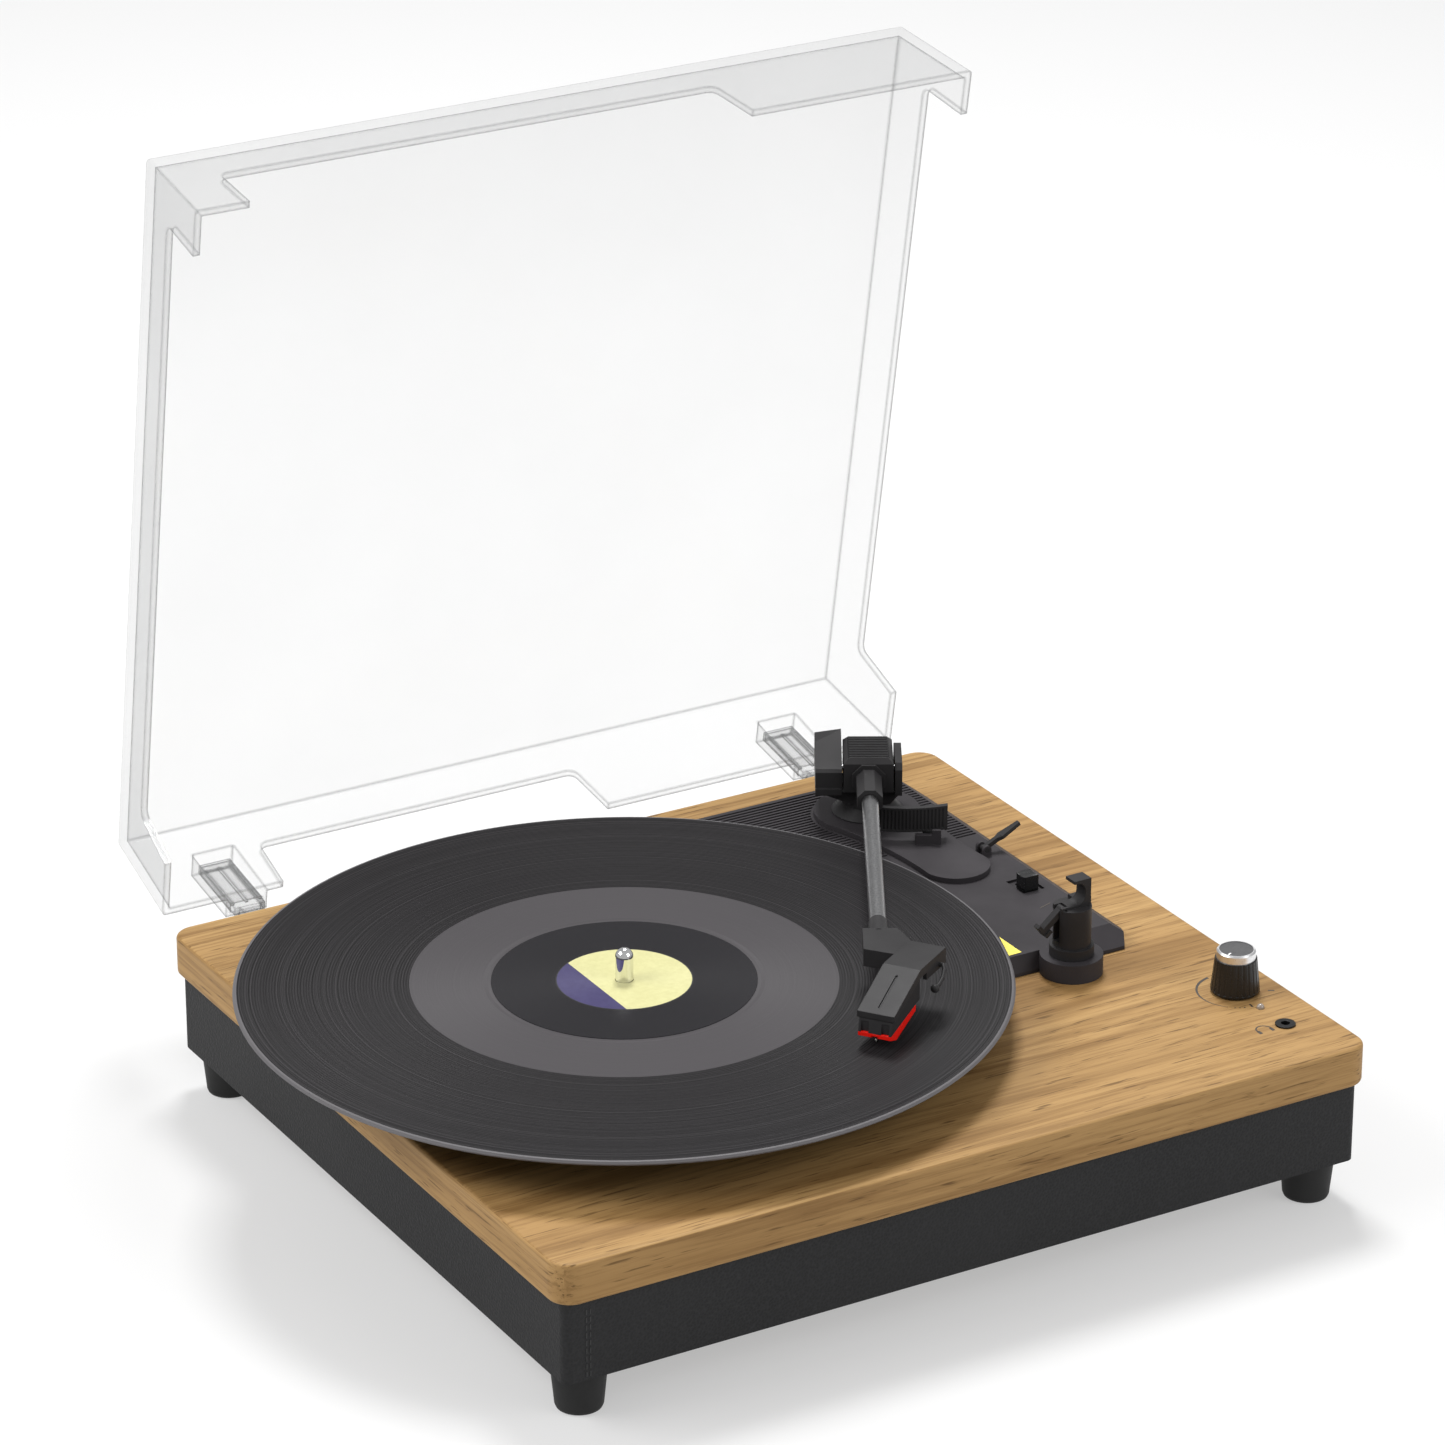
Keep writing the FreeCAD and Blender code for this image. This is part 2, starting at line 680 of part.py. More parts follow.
def base_outline_solid(z0, z1, grow=0.0):
    """The arm base in plan: a disc about the pivot that runs out into a lobe towards the front."""
    lobe_x, lobe_y = pivot_x + 3.0, pivot_y - lobe_ahead
    big = base_disc_radius + grow
    small = lobe_radius + grow
    gap = math.hypot(lobe_x - pivot_x, lobe_y - pivot_y)
    lean = math.acos((big - small) / gap)
    base = math.atan2(lobe_y - pivot_y, lobe_x - pivot_x)

    def at(cx, cy, r, a):
        return V(cx + r * math.cos(a), cy + r * math.sin(a), z0)
    a0, a1 = base + lean, base - lean
    waist = 3.0
    mid_a = at((pivot_x + lobe_x) / 2, (pivot_y + lobe_y) / 2, (big + small) / 2 - waist, a1)
    mid_b = at((pivot_x + lobe_x) / 2, (pivot_y + lobe_y) / 2, (big + small) / 2 - waist, a0)
    edges = [Part.Arc(at(pivot_x, pivot_y, big, a0), at(pivot_x, pivot_y, big, base + math.pi),
                      at(pivot_x, pivot_y, big, a1)).toShape(),
             Part.Arc(at(pivot_x, pivot_y, big, a1), mid_a, at(lobe_x, lobe_y, small, a1)).toShape(),
             Part.Arc(at(lobe_x, lobe_y, small, a1), at(lobe_x, lobe_y, small, base),
                      at(lobe_x, lobe_y, small, a0)).toShape(),
             Part.Arc(at(lobe_x, lobe_y, small, a0), mid_b, at(pivot_x, pivot_y, big, a0)).toShape()]
    return Part.Face(Part.Wire(edges)).extrude(V(0, 0, z1 - z0))


def lever_lugs():
    """Two lugs that carry the cueing lever's shaft."""
    lug_z = plate_top + lever_rise
    lugs = []
    for side in (-1, 1):
        y0 = lever_y + side * lever_lug_offset - lever_lug_width / 2
        lug = box(lever_x - lever_lug_radius, lever_x + lever_lug_radius, y0, y0 + lever_lug_width,
                  plate_top - 0.5, lug_z)
        lug = lug.fuse(rod((lever_x, y0, lug_z), (0, 1, 0), lever_lug_radius, lever_lug_width))
        lugs.append(lug.cut(rod((lever_x, y0 - 1, lug_z), (0, 1, 0), lever_shaft_radius + shaft_clearance, 4)))
    return lugs


def make_arm_base():
    pin_x, pin_y = arm_point(lift_pin_across, lift_pin_ahead)
    cover = base_outline_solid(plate_top, base_top)
    cover = cover.cut(disc(pivot_x, pivot_y, plate_top - 1, base_top + 1, bearing_radius))

    bearing = ring(pivot_x, pivot_y, box_top + 2, base_top, bearing_radius, arm_shaft_radius + shaft_clearance)
    add("arm_bearing", bearing)

    half_along = 6.4
    guide = box(-5.2, 5.2, -half_along, 3.4, base_top - 0.5, base_top + 0.9)
    low_cheek = box(-5.2, 5.2, -half_along, -half_along + 2.4, base_top, base_top + 4.2)
    near, far = -half_along, -half_along + 3.2
    high_cheek = prism_x([(near, base_top), (far, base_top), (far, base_top + 5.0), (near + 1.4, base_top + 6.4),
                          (near, base_top + 6.4)], 1.6, 5.2)
    guide = fuse([guide, low_cheek, high_cheek])
    guide.rotate(V(0, 0, 0), V(0, 0, 1), -arm_yaw)
    guide.translate(V(pin_x, pin_y, 0))
    cover = fuse([cover, guide])
    pin_bore = disc(pin_x, pin_y, plate_top - 1, base_top + 9, lift_pin_radius + lift_pin_gap)
    add("arm_base_cover", cover.cut(pin_bore))


# --------------------------- tonearm ---------------------------------------

def stand_arm(shape, tilted):
    """From the arm's own frame (x across, -y ahead, z from the pitch axis) to its place at rest."""
    placed = shape.copy()
    if tilted:
        placed.rotate(V(0, 0, 0), V(1, 0, 0), -arm_tilt)
    placed.rotate(V(0, 0, 0), V(0, 0, 1), -arm_yaw)
    placed.translate(V(pivot_x, pivot_y, pivot_z))
    return placed


def make_turret():
    """The part of the arm that only swings: foot, turret, yoke cheeks and the bearing shaft."""
    low = base_top + 0.35 - pivot_z
    floor = -head_below - 1.2
    foot = Part.makeCone(turret_foot_radius, turret_radius, 4.0, V(0, 0, low))
    drum = Part.makeCylinder(turret_radius, floor - low - 2.0, V(0, 0, low + 2.0))
    half = head_width / 2 + cheek_gap
    front, back = -head_half_depth + 2.0, -head_half_depth + 2.0 + wing_depth
    wing_left = -half - wing_width
    wing_top = wing_front_top
    saddle = box(wing_left + 1.0, half + cheek_width, -9.0, 9.0, floor - 2.0, floor)
    keel = prism_y([(wing_left, floor), (half + cheek_width, floor), (turret_radius - 2, floor - 5.5),
                    (-turret_radius + 4, floor - 5.5)], -9.5, 9.5)
    wing = prism_x([(front, floor), (back, floor), (back, wing_top + wing_rise), (front + 1.4, wing_top),
                    (front, wing_top - 1.2)], wing_left, -half)
    clear = wing_top + 12
    wing = wing.cut(prism_y([(wing_left - 1, wing_top + wing_left_rise), (-half, wing_top + wing_rise),
                             (-half, clear), (wing_left - 1, clear)], front - 1, back + 1))
    cheek = prism_x([(front - 1.5, floor), (back - 6, floor), (back - 6, cheek_top - 2), (back - 10, cheek_top),
                     (front + 1, cheek_top), (front - 1.5, cheek_top - 2.5)], half, half + cheek_width)
    step = box(wing_left, -half, front - 1.2, front, floor, wing_top - 8.0)
    yoke = fuse([foot, drum, saddle, keel, wing, cheek, step])
    bore = rod((wing_left - 1, 0, 0), (1, 0, 0), pitch_pin_radius + shaft_clearance, 2 * half + wing_width + 10)
    yoke = yoke.cut(bore)
    shaft_low = box_top + 1 - pivot_z
    shaft = Part.makeCylinder(arm_shaft_radius, low - shaft_low + 1, V(0, 0, shaft_low))
    add("arm_yoke", stand_arm(fuse([yoke, shaft]), False))



def octagon(across, y0, y1):
    r = across / 2 / math.cos(math.radians(22.5))
    points = [(r * math.cos(math.radians(a + 22.5)), r * math.sin(math.radians(a + 22.5)))
              for a in range(0, 360, 45)]
    return prism_y(points, y0, y1)


def make_arm():
    """The part of the arm that also rises and falls."""
    w, d, c = head_width / 2, head_half_depth, head_chamfer
    low, high = -head_below, head_above
    block = prism_x([(-d, low), (d, low), (d, high - c), (d - c, high), (-d + c, high), (-d, high - c)], -w, w)
    for side in (-1, 1):
        edge = prism_y([(side * (w + 1), high - c - 1), (side * (w + 1), high + 1), (side * (w - c - 1), high + 1)],
                       -d - 1, d + 1)
        block = block.cut(edge)
    rib_front, rib_back = -d + c + head_rib_margin, d - c - head_rib_margin
    pitch = (rib_back - rib_front) / head_rib_count
    for i in range(head_rib_count):
        y = rib_front + i * pitch
        block = block.cut(box(-w + c - 0.6, w - c + 0.6, y, y + pitch * 0.5,
                              high - head_rib_depth, high + 1))
    collar = octagon(collar_flats, -d - collar_length, -d)
    flange = octagon(collar_flats + 3.2, -d - 1.0, -d)
    head = fuse([block, collar, flange])
    head = head.cut(rod((0, -d - collar_length - 1, 0), (0, 1, 0), tube_radius, collar_length))
    head = head.cut(rod((-w - 1, 0, 0), (1, 0, 0), pitch_pin_radius, 2 * w + 2))
    add("arm_head", stand_arm(head, True))
    reach = w + cheek_gap + cheek_width - 0.4
    add("arm_pitch_pin", stand_arm(rod((-reach, 0, 0), (1, 0, 0), pitch_pin_radius, 2 * reach), True))

    tube_start = d + 1.0
    length = neck_start - 2 - tube_start
    tube = rod((0, -tube_start - length, 0), (0, 1, 0), tube_radius, length)
    tube = tube.cut(rod((0, -tube_start - length - 1, 0), (0, 1, 0), tube_radius - tube_wall, length + 2))
    add("arm_tube", stand_arm(tube, True))
    make_headshell()


def shell_frame(shape):
    """From the headshell's frame (-y along its axis from the crease) into the arm's frame."""
    placed = shape.copy()
    placed.rotate(V(0, 0, 0), V(0, 0, 1), -shell_offset_angle)
    placed.translate(V(shell_across, -shell_ahead, 0))
    return placed


def make_headshell():
    half = shell_width / 2
    top, drop, sheet, reach = shell_top, shell_drop, shell_sheet, shell_half
    # the hood: level at the back, sloping down at the front
    hood = prism_x([(reach, top), (0, top), (-reach, top - drop), (-reach, top - drop - sheet + 1.0),
                    (0, top - sheet), (reach, top - sheet)], -half, half)
    groove = prism_x([(-4.5, top - drop * 4.5 / reach + 1), (-reach + 3.0, top - drop * (reach - 3) / reach + 1),
                      (-reach + 3.0, top - drop * (reach - 3) / reach - 0.5),
                      (-4.5, top - drop * 4.5 / reach - 0.5)], -0.45, 0.45)
    hood = hood.cut(groove)
    apron = box(half - 1.6, half, 6.0, reach, top - sheet - 3.0, top - sheet)
    hood = shell_frame(fuse([hood, apron]))
    block_top = top - 0.4
    block = prism([(x, -ahead) for x, ahead in neck_outline], block_top - neck_thickness, block_top)
    boss = rod((0, -neck_start - 1, 0), (0, 1, 0), neck_radius, neck_start - tube_end + 1)
    shell = fuse([hood, block, boss])
    shell = shell.cut(rod((0, -neck_start + 2, 0), (0, 1, 0), tube_radius, 40))
    add("headshell", stand_arm(shell, True))

    body_half = half - 0.9
    slope = drop / reach
    lower = top - sheet
    front = -reach + 0.3
    cartridge = prism_x([(1.5, lower - 0.0), (0, lower), (front, lower - slope * reach + 1.0 + 0.3 * slope),
                         (front - 1.2, lower - drop - 4.6), (1.5, lower - 9.4)], -body_half, body_half)
    hood_local = prism_x([(reach, top), (0, top), (-reach, top - drop), (-reach, top - drop - sheet + 1.0),
                          (0, top - sheet), (reach, top - sheet)], -half, half)
    cartridge = cartridge.cut(hood_local)
    for side in (-1, 1):
        x0, x1 = sorted((side * (body_half - 1.0), side * (body_half - 4.2)))
        cartridge = cartridge.cut(box(x0, x1, front - 2.4, front - 0.2, -40, lower - drop - 0.4))
    add("cartridge", stand_arm(shell_frame(cartridge), True))

    under = lower - 9.4
    tip_low = lower - drop - 4.6
    guard = prism_x([(-2.0, under - (under - tip_low) * 3.5 / (reach + 1.2)), (front - 1.2, tip_low),
                     (front - 1.2, tip_low - 1.6), (front + 4.0, tip_low - 3.2), (-2.0, under - 3.2)],
                    -body_half, body_half)
    side_cut = prism_x([(2, under + 9), (2, under - 20), (front - 10, tip_low - 20), (front - 10, tip_low + 9)],
                       -body_half, body_half)
    guard = guard.common(side_cut)
    mouth = box(-1.3, 1.3, front - 3, front + 6.0, tip_low - 5, tip_low - 1.0)
    guard = guard.cut(mouth)
    add("stylus_guard", stand_arm(shell_frame(guard), True))

    tip_y = -reach + stylus_back
    root = V(0, front + 6.0, tip_low - 2.2)
    tip = V(0, tip_y, -stylus_drop + 0.9)
    way = tip.sub(root)
    cantilever = Part.makeCylinder(0.45, way.Length, root, way)
    needle = Part.makeCone(0.12, 0.45, 1.0, V(0, tip_y + 0.3, -stylus_drop))
    add("stylus", stand_arm(shell_frame(fuse([cantilever, needle])), True))

    lift_y = 18.0
    stem = rod((half, lift_y, top - 4.6), (1, 0, 0), 0.9, 1.6)
    path = [V(half + 1.6, lift_y, top - 4.6), V(half + 3.0, lift_y - 2.2, top - 5.8),
            V(half + 3.8, lift_y - 5.5, top - 7.4), V(half + 3.8, lift_y - 8.8, top - 8.8),
            V(half + 3.2, lift_y - 11.4, top - 9.6)]
    finger = stem
    for a, b in zip(path, path[1:]):
        finger = finger.fuse(Part.makeCylinder(0.85, b.sub(a).Length, a, b.sub(a)))
        finger = finger.fuse(Part.makeSphere(0.85, a))
    finger = finger.fuse(Part.makeSphere(1.7, path[-1]))
    add("finger_lift", stand_arm(shell_frame(finger), True))


# --------------------------- arm rest and cueing ---------------------------

def make_rest():
    ring_top = plate_top + post_ring_height
    post_top = plate_top + post_top_rise
    arm_z = pivot_z + math.hypot(post_x - pivot_x, post_y - pivot_y) * math.sin(math.radians(arm_tilt))
    hole = tube_radius + rest_clearance
    hole_low, hole_high = arm_z - hole - rest_settle, arm_z + hole
    post = fuse([disc(post_x, post_y, plate_top, ring_top, post_ring_radius),
                 disc(post_x, post_y, plate_top, post_top, post_radius),
                 box(post_x + 2, post_x + post_radius + 1.4, post_y + 0.5, post_y + post_radius - 1,
                     plate_top, post_top + 1.5)])

    # the fork on top: a cradle that is open on the left, where the arm comes in
    y0, y1 = post_y - rest_depth / 2, post_y + rest_depth / 2
    pin_x, pin_z = post_x - latch_across, hole_low - 1.5
    left, right = pin_x - 1.8, post_x + hole + 2.6
    top = hole_high + rest_beam
    fork = box(left, right, y0, y1, post_top - 1, top)
    for z in (hole_low + hole, hole_high - hole):
        fork = fork.cut(rod((post_x, y0 - 1, z), (0, 1, 0), hole, rest_depth + 2))
    fork = fork.cut(box(post_x - hole, post_x + hole, y0 - 1, y1 + 1, hole_low + hole, hole_high - hole))
    fork = fork.cut(box(left - 1, post_x, y0 - 1, y1 + 1, hole_low, hole_high))
    fork = fork.cut(box(left - 1, post_x - rest_mouth, y0 - 1, y1 + 1, arm_z, top + 1))
    post = fuse([post, fork])
    slot = latch_width / 2 + latch_slot_gap
    slot_right = pin_x + latch_thickness / 2 + latch_slot_gap
    post = post.cut(box(left - 4, slot_right, post_y - slot, post_y + slot, pin_z - latch_length - 1, arm_z))
    post = post.cut(rod((pin_x, y0 - 1, pin_z), (0, 1, 0), latch_pin_radius, rest_depth + 2))
    add("arm_rest_post", post)
    add("rest_latch_pin", rod((pin_x, y0, pin_z), (0, 1, 0), latch_pin_radius, rest_depth))

    # the latch, drawn closed over the tube and then swung open to the left
    half = latch_thickness / 2
    y0, y1 = post_y - latch_width / 2, post_y + latch_width / 2
    arm = box(pin_x - half, pin_x + half, y0, y1, pin_z, pin_z + latch_length)
    eye = rod((pin_x, y0, pin_z), (0, 1, 0), half + 0.2, latch_width)
    hook = box(pin_x - half, pin_x - half + latch_hook, y0, y1, pin_z + latch_length - 1.6, pin_z + latch_length)
    grip = box(pin_x - half - 1.4, pin_x - half, y0 - 0.9, y1 + 0.9, pin_z + latch_length - 3.4,
               pin_z + latch_length)
    latch = fuse([arm, eye, hook, grip])
    latch = latch.cut(rod((pin_x, y0 - 1, pin_z), (0, 1, 0), latch_pin_radius + shaft_clearance, latch_width + 2))
    latch.rotate(V(pin_x, post_y, pin_z), V(0, 1, 0), -latch_opening)
    add("rest_latch", latch)


def make_cueing():
    tilt = math.radians(arm_tilt)
    bar_top = pivot_z + lift_bar_ahead * math.sin(tilt) - collar_flats / 2 / math.cos(tilt) - lift_bar_gap
    bar_low = bar_top - lift_bar_height
    l, r = lift_bar_left, lift_bar_right
    mid = (l + r) / 2
    half = lift_bar_thickness / 2

    def arc(offset):
        y = offset - lift_bar_ahead
        return Part.Arc(V(l, y, bar_low), V(mid, y - lift_bar_bow, bar_low), V(r, y, bar_low))
    front, back = arc(-half), arc(half)
    edges = [front.toShape(), Part.LineSegment(front.EndPoint, back.EndPoint).toShape(), back.toShape(),
             Part.LineSegment(back.StartPoint, front.StartPoint).toShape()]
    bar = Part.Face(Part.Wire(Part.__sortEdges__(edges))).extrude(V(0, 0, lift_bar_height))
    across = l + lift_bar_rib
    while across < r - lift_bar_rib:
        share = (2 * across - l - r) / (r - l)
        face = -lift_bar_ahead - lift_bar_bow * (1 - share ** 2) - half
        bar = bar.cut(box(across, across + lift_bar_rib / 2, face - 1, face + lift_bar_rib_depth,
                          bar_low + 1, bar_top - 1))
        across += lift_bar_rib
    bar.rotate(V(0, 0, 0), V(0, 0, 1), -arm_yaw)
    bar.translate(V(pivot_x, pivot_y, 0))
    pin_x, pin_y = arm_point(lift_pin_across, lift_pin_ahead)
    add("lift_bar", fuse([bar, disc(pin_x, pin_y, deck_top - 4, bar_low + 0.5, lift_pin_radius)]))

    z = plate_top + lever_rise
    reach = lever_lug_offset + lever_lug_width / 2
    shaft = rod((lever_x, lever_y - reach, z), (0, 1, 0), lever_shaft_radius, 2 * reach)
    blade = box(0, lever_length * 0.5, -1.0, 1.0, -1.0, 0.9)
    paddle = prism([(lever_length * 0.35, -1.0), (lever_length * 0.48, -1.9), (lever_length, -0.9),
                    (lever_length, 0.9), (lever_length * 0.48, 1.9), (lever_length * 0.35, 1.0)], -0.8, 0.8)
    lever = fuse([blade, paddle])
    lever.rotate(V(0, 0, 0), V(0, 1, 0), -lever_angle)
    lever.translate(V(lever_x, lever_y, z))
    add("cue_lever", fuse([lever, shaft]))

    half = switch_size / 2
    base_z = plate_top - 1.0 + 0.3
    knob = box(switch_x - half, switch_x + half, switch_y - half, switch_y + half, base_z,
               plate_top + switch_rise)
    scoop = rod((switch_x - half - 1, switch_y, plate_top + switch_rise + 7.6), (1, 0, 0), 8.4, switch_size + 2)
    stem = box(switch_x - 1.2, switch_x + 1.2, switch_y - 1.9, switch_y + 1.9, plate_top - plate_sheet - 1.2,
               base_z)
    add("speed_switch_knob", fuse([knob.cut(scoop), stem]))
    body = box(switch_x - 5, switch_x + 5, switch_y - 7, switch_y + switch_travel + 7, deck_top,
               plate_top - plate_sheet - 1.5)
    add("speed_switch_body", body)


# --------------------------- front controls --------------------------------

def make_controls():
    board = box(control_left + 0.6, control_right - 0.6, control_front + 0.6, control_back - 0.6,
                box_top - 1.6, box_top)
    add("control_board", board)
    pot = box(knob_x - 6.5, knob_x + 6.2, knob_y - 7.5, knob_y + 7.5, box_top, box_top + 6.5)
    bush = disc(knob_x, knob_y, box_top + 6.5, deck_top - 0.6, 3.5)
    bore = disc(knob_x, knob_y, box_top + 2, deck_top + 1, 3.0 + shaft_clearance)
    add("volume_control", fuse([pot, bush]).cut(bore))
    base = deck_top + knob_gap
    top = base + knob_height
    body = turned([(0, base), (knob_base_radius, base), (knob_base_radius, base + 0.6),
                   (knob_top_radius, top), (0, top)], knob_x, knob_y)
    for i in range(knob_flutes):
        a = 2 * math.pi * i / knob_flutes
        r = knob_base_radius + 0.45
        x, y = knob_x + r * math.cos(a), knob_y + r * math.sin(a)
        lean = V(-(knob_base_radius - knob_top_radius) * math.cos(a) / knob_height,
                 -(knob_base_radius - knob_top_radius) * math.sin(a) / knob_height, 1)
        body = body.cut(Part.makeCylinder(0.75, knob_height, V(x, y, base + 0.9), lean))
    body = body.cut(disc(knob_x, knob_y, top - cap_boss, top + 1, cap_boss_radius))
    body = body.cut(disc(knob_x, knob_y, base - 1, top - cap_boss - 3, knob_shaft_radius))
    shaft = disc(knob_x, knob_y, box_top + 3, top - cap_boss - 2.5, knob_shaft_radius)
    add("volume_knob", fuse([body, shaft]))
    cap_top = top + cap_height
    cap = turned([(0, top - cap_boss), (cap_boss_radius, top - cap_boss), (cap_boss_radius, top), (cap_radius, top),
                  (cap_radius - 0.1, cap_top - 0.6), (cap_radius - 0.7, cap_top), (cap_radius - 1.1, cap_top),
                  (cap_radius - 1.1, cap_top - 0.2), (0, cap_top - 0.2)], knob_x, knob_y)
    mark = box(cap_radius - 3.6, cap_radius - 1.6, -0.4, 0.4, cap_top - 0.5, cap_top + 1)
    mark.rotate(V(0, 0, 0), V(0, 0, 1), knob_mark_angle)
    mark.translate(V(knob_x, knob_y, 0))
    add("volume_knob_cap", cap.cut(mark))

    led = disc(knob_x, led_y, box_top, deck_top + 0.2, led_radius)
    dome = Part.makeSphere(led_radius, V(knob_x, led_y, deck_top + 0.2))
    add("power_light", fuse([led, dome]))
    jack = fuse([box(knob_x - 5, knob_x + 5, jack_y - 6, jack_y + 6, box_top, box_top + 7),
                 disc(knob_x, jack_y, box_top + 7, deck_top, 3.5),
                 disc(knob_x, jack_y, deck_top, deck_top + 0.7, jack_ring_radius)])
    jack = jack.cut(disc(knob_x, jack_y, box_top + 2, deck_top + 2, jack_bore_radius))
    add("headphone_socket", jack)


# --------------------------- inside the cabinet ----------------------------

def grille_slots(x, y):
    slots = []
    for i in range(-4, 5):
        offset = i * 5.4
        half = math.sqrt(max((speaker_radius - 6) ** 2 - offset ** 2, 16))
        slots.append(box(x - half, x + half, y + offset - 1.1, y + offset + 1.1, box_bottom - 1,
                         box_bottom + panel_thickness + 1))
    return Part.makeCompound(slots)


def make_speakers():
    frames, cones = [], []
    for x in speaker_places:
        z = speaker_floor
        r = speaker_radius
        frame = turned([(r - 4, z), (r, z), (r, z + 2), (r - 4, z + 3), (14, z + 10), (14, z + speaker_depth),
                        (0, z + speaker_depth), (0, z + 9), (13, z + 9), (r - 5.5, z + 2.4), (r - 4, z + 1)],
                       x, speaker_y)
        frames.append(frame)
        cone = turned([(r - 4, z), (r - 4, z + 0.9), (r - 6, z + 1.8), (9, z + 8.4), (0, z + 8.4), (0, z + 7.6),
                       (8.6, z + 7.6), (r - 6.4, z + 1.0), (r - 5, z)], x, speaker_y)
        cones.append(cone)
    add("speaker_frames", Part.makeCompound(frames))
    add("speaker_cones", Part.makeCompound(cones))


def make_electronics():
    z0 = box_bottom + panel_thickness
    board_z = z0 + 6
    x0, y0 = board_left, board_back - board_size_y / 2
    x1, y1 = x0 + board_size_x, y0 + board_size_y
    holes = [(x, y) for x in (x0 + 5, x1 - 5) for y in (y0 + 5, y1 - 5)]
    board = box(x0, x1, y0, y1, board_z, board_z + 1.6)
    for x, y in holes:
        board = board.cut(disc(x, y, board_z - 1, board_z + 3, 1.5))
    top = board_z + 1.6
    chips = [box(x0 + 20, x0 + 34, y0 + 24, y0 + 34, top, top + 2.4),
             box(x0 + 50, x0 + 72, y0 + 40, y0 + 50, top, top + 11),
             box(x0 + 8, x0 + 16, y0 + 44, y0 + 62, top, top + 7),
             box(x0 + 74, x0 + 84, y0 + 16, y0 + 30, top, top + 6)]
    chips += [disc(x0 + 24 + 13 * i, y0 + 12, top, top + 11, 4.5) for i in range(4)]
    add("main_board", fuse([board] + chips))
    posts = [fuse([disc(x, y, z0, board_z, 3.0), disc(x, y, board_z, top + 1.2, 1.5)]) for x, y in holes]
    add("board_standoffs", Part.makeCompound(posts))


def rear_screw_places():
    return [rear_x + side * (rear_width / 2 - 3) for side in (-1, 1)]


def rear_screw(x, z, plate):
    """A pan-head screw through a plate into the cabinet's back wall."""
    head = rod((x, out_y + plate, z), (0, 1, 0), 3.0, 1.4)
    shank = rod((x, out_y + plate, z), (0, -1, 0), screw_radius, rear_screw_length + hinge_plate)
    tip = box(x - 3, x + 3, out_y - rear_screw_length - 10, out_y - rear_screw_length, z - 3, z + 3)
    return fuse([head, shank]).cut(tip)


def make_rear():
    x0, x1 = rear_x - rear_width / 2, rear_x + rear_width / 2
    face = box(x0, x1, out_y, out_y + rear_thickness, rear_z - rear_height / 2, rear_z + rear_height / 2)
    rca = [rear_x - 26, rear_x - 26 + rca_pitch]
    dc = rear_x + 24
    for x in rca:
        face = face.cut(rod((x, out_y - 1, rear_z), (0, 1, 0), rca_radius, 6))
    face = face.cut(rod((dc, out_y - 1, rear_z), (0, 1, 0), 4.5, 6))
    for x in rear_screw_places():
        face = face.cut(rod((x, out_y - 1, rear_z), (0, 1, 0), screw_radius, 6))
    add("rear_panel", face)
    sockets = []
    for x in rca:
        barrel = rod((x, out_y - 8, rear_z), (0, 1, 0), rca_radius, 8 + rear_thickness + 7)
        barrel = barrel.cut(rod((x, out_y - 4, rear_z), (0, 1, 0), 1.65, 40))
        sockets.append(barrel)
    add("line_out_sockets", Part.makeCompound(sockets))
    socket = rod((dc, out_y - 9, rear_z), (0, 1, 0), 4.5, 9 + rear_thickness)
    well = rod((dc, out_y - 7.5, rear_z), (0, 1, 0), 2.8, 20)
    pin = rod((dc, out_y - 8, rear_z), (0, 1, 0), 1.0, 8)
    add("power_socket", fuse([socket.cut(well), pin]))


# --------------------------- lid and hinges --------------------------------

def hinge_screw_heights():
    return (hinge_z - 26.0, hinge_z - 12.0)


def open_lid(shape):
    """From the closed lid to the open lid: a turn about the hinge line."""
    placed = shape.copy()
    placed.rotate(V(0, hinge_y, hinge_z), V(1, 0, 0), -lid_opening)
    return placed


def lid_rect(z, inset):
    """The lid's outline at a height, closed, its walls leaning out towards the open edge."""
    top = deck_top + lid_rest_gap + lid_wall_height
    fall = (top - z) / lid_wall_height
    half = lid_plate_width / 2 + lid_side_draft * fall - inset
    y0 = lid_plate_front - lid_front_draft * fall + inset
    y1 = lid_plate_back + lid_back_draft * fall - inset
    return [(lid_centre_x - half, y0, z), (lid_centre_x + half, y0, z),
            (lid_centre_x + half, y1, z), (lid_centre_x - half, y1, z)]


def lid_block(z0, z1, inset):
    return Part.makeLoft([wire(lid_rect(z0, inset)), wire(lid_rect(z1, inset))], True, True)


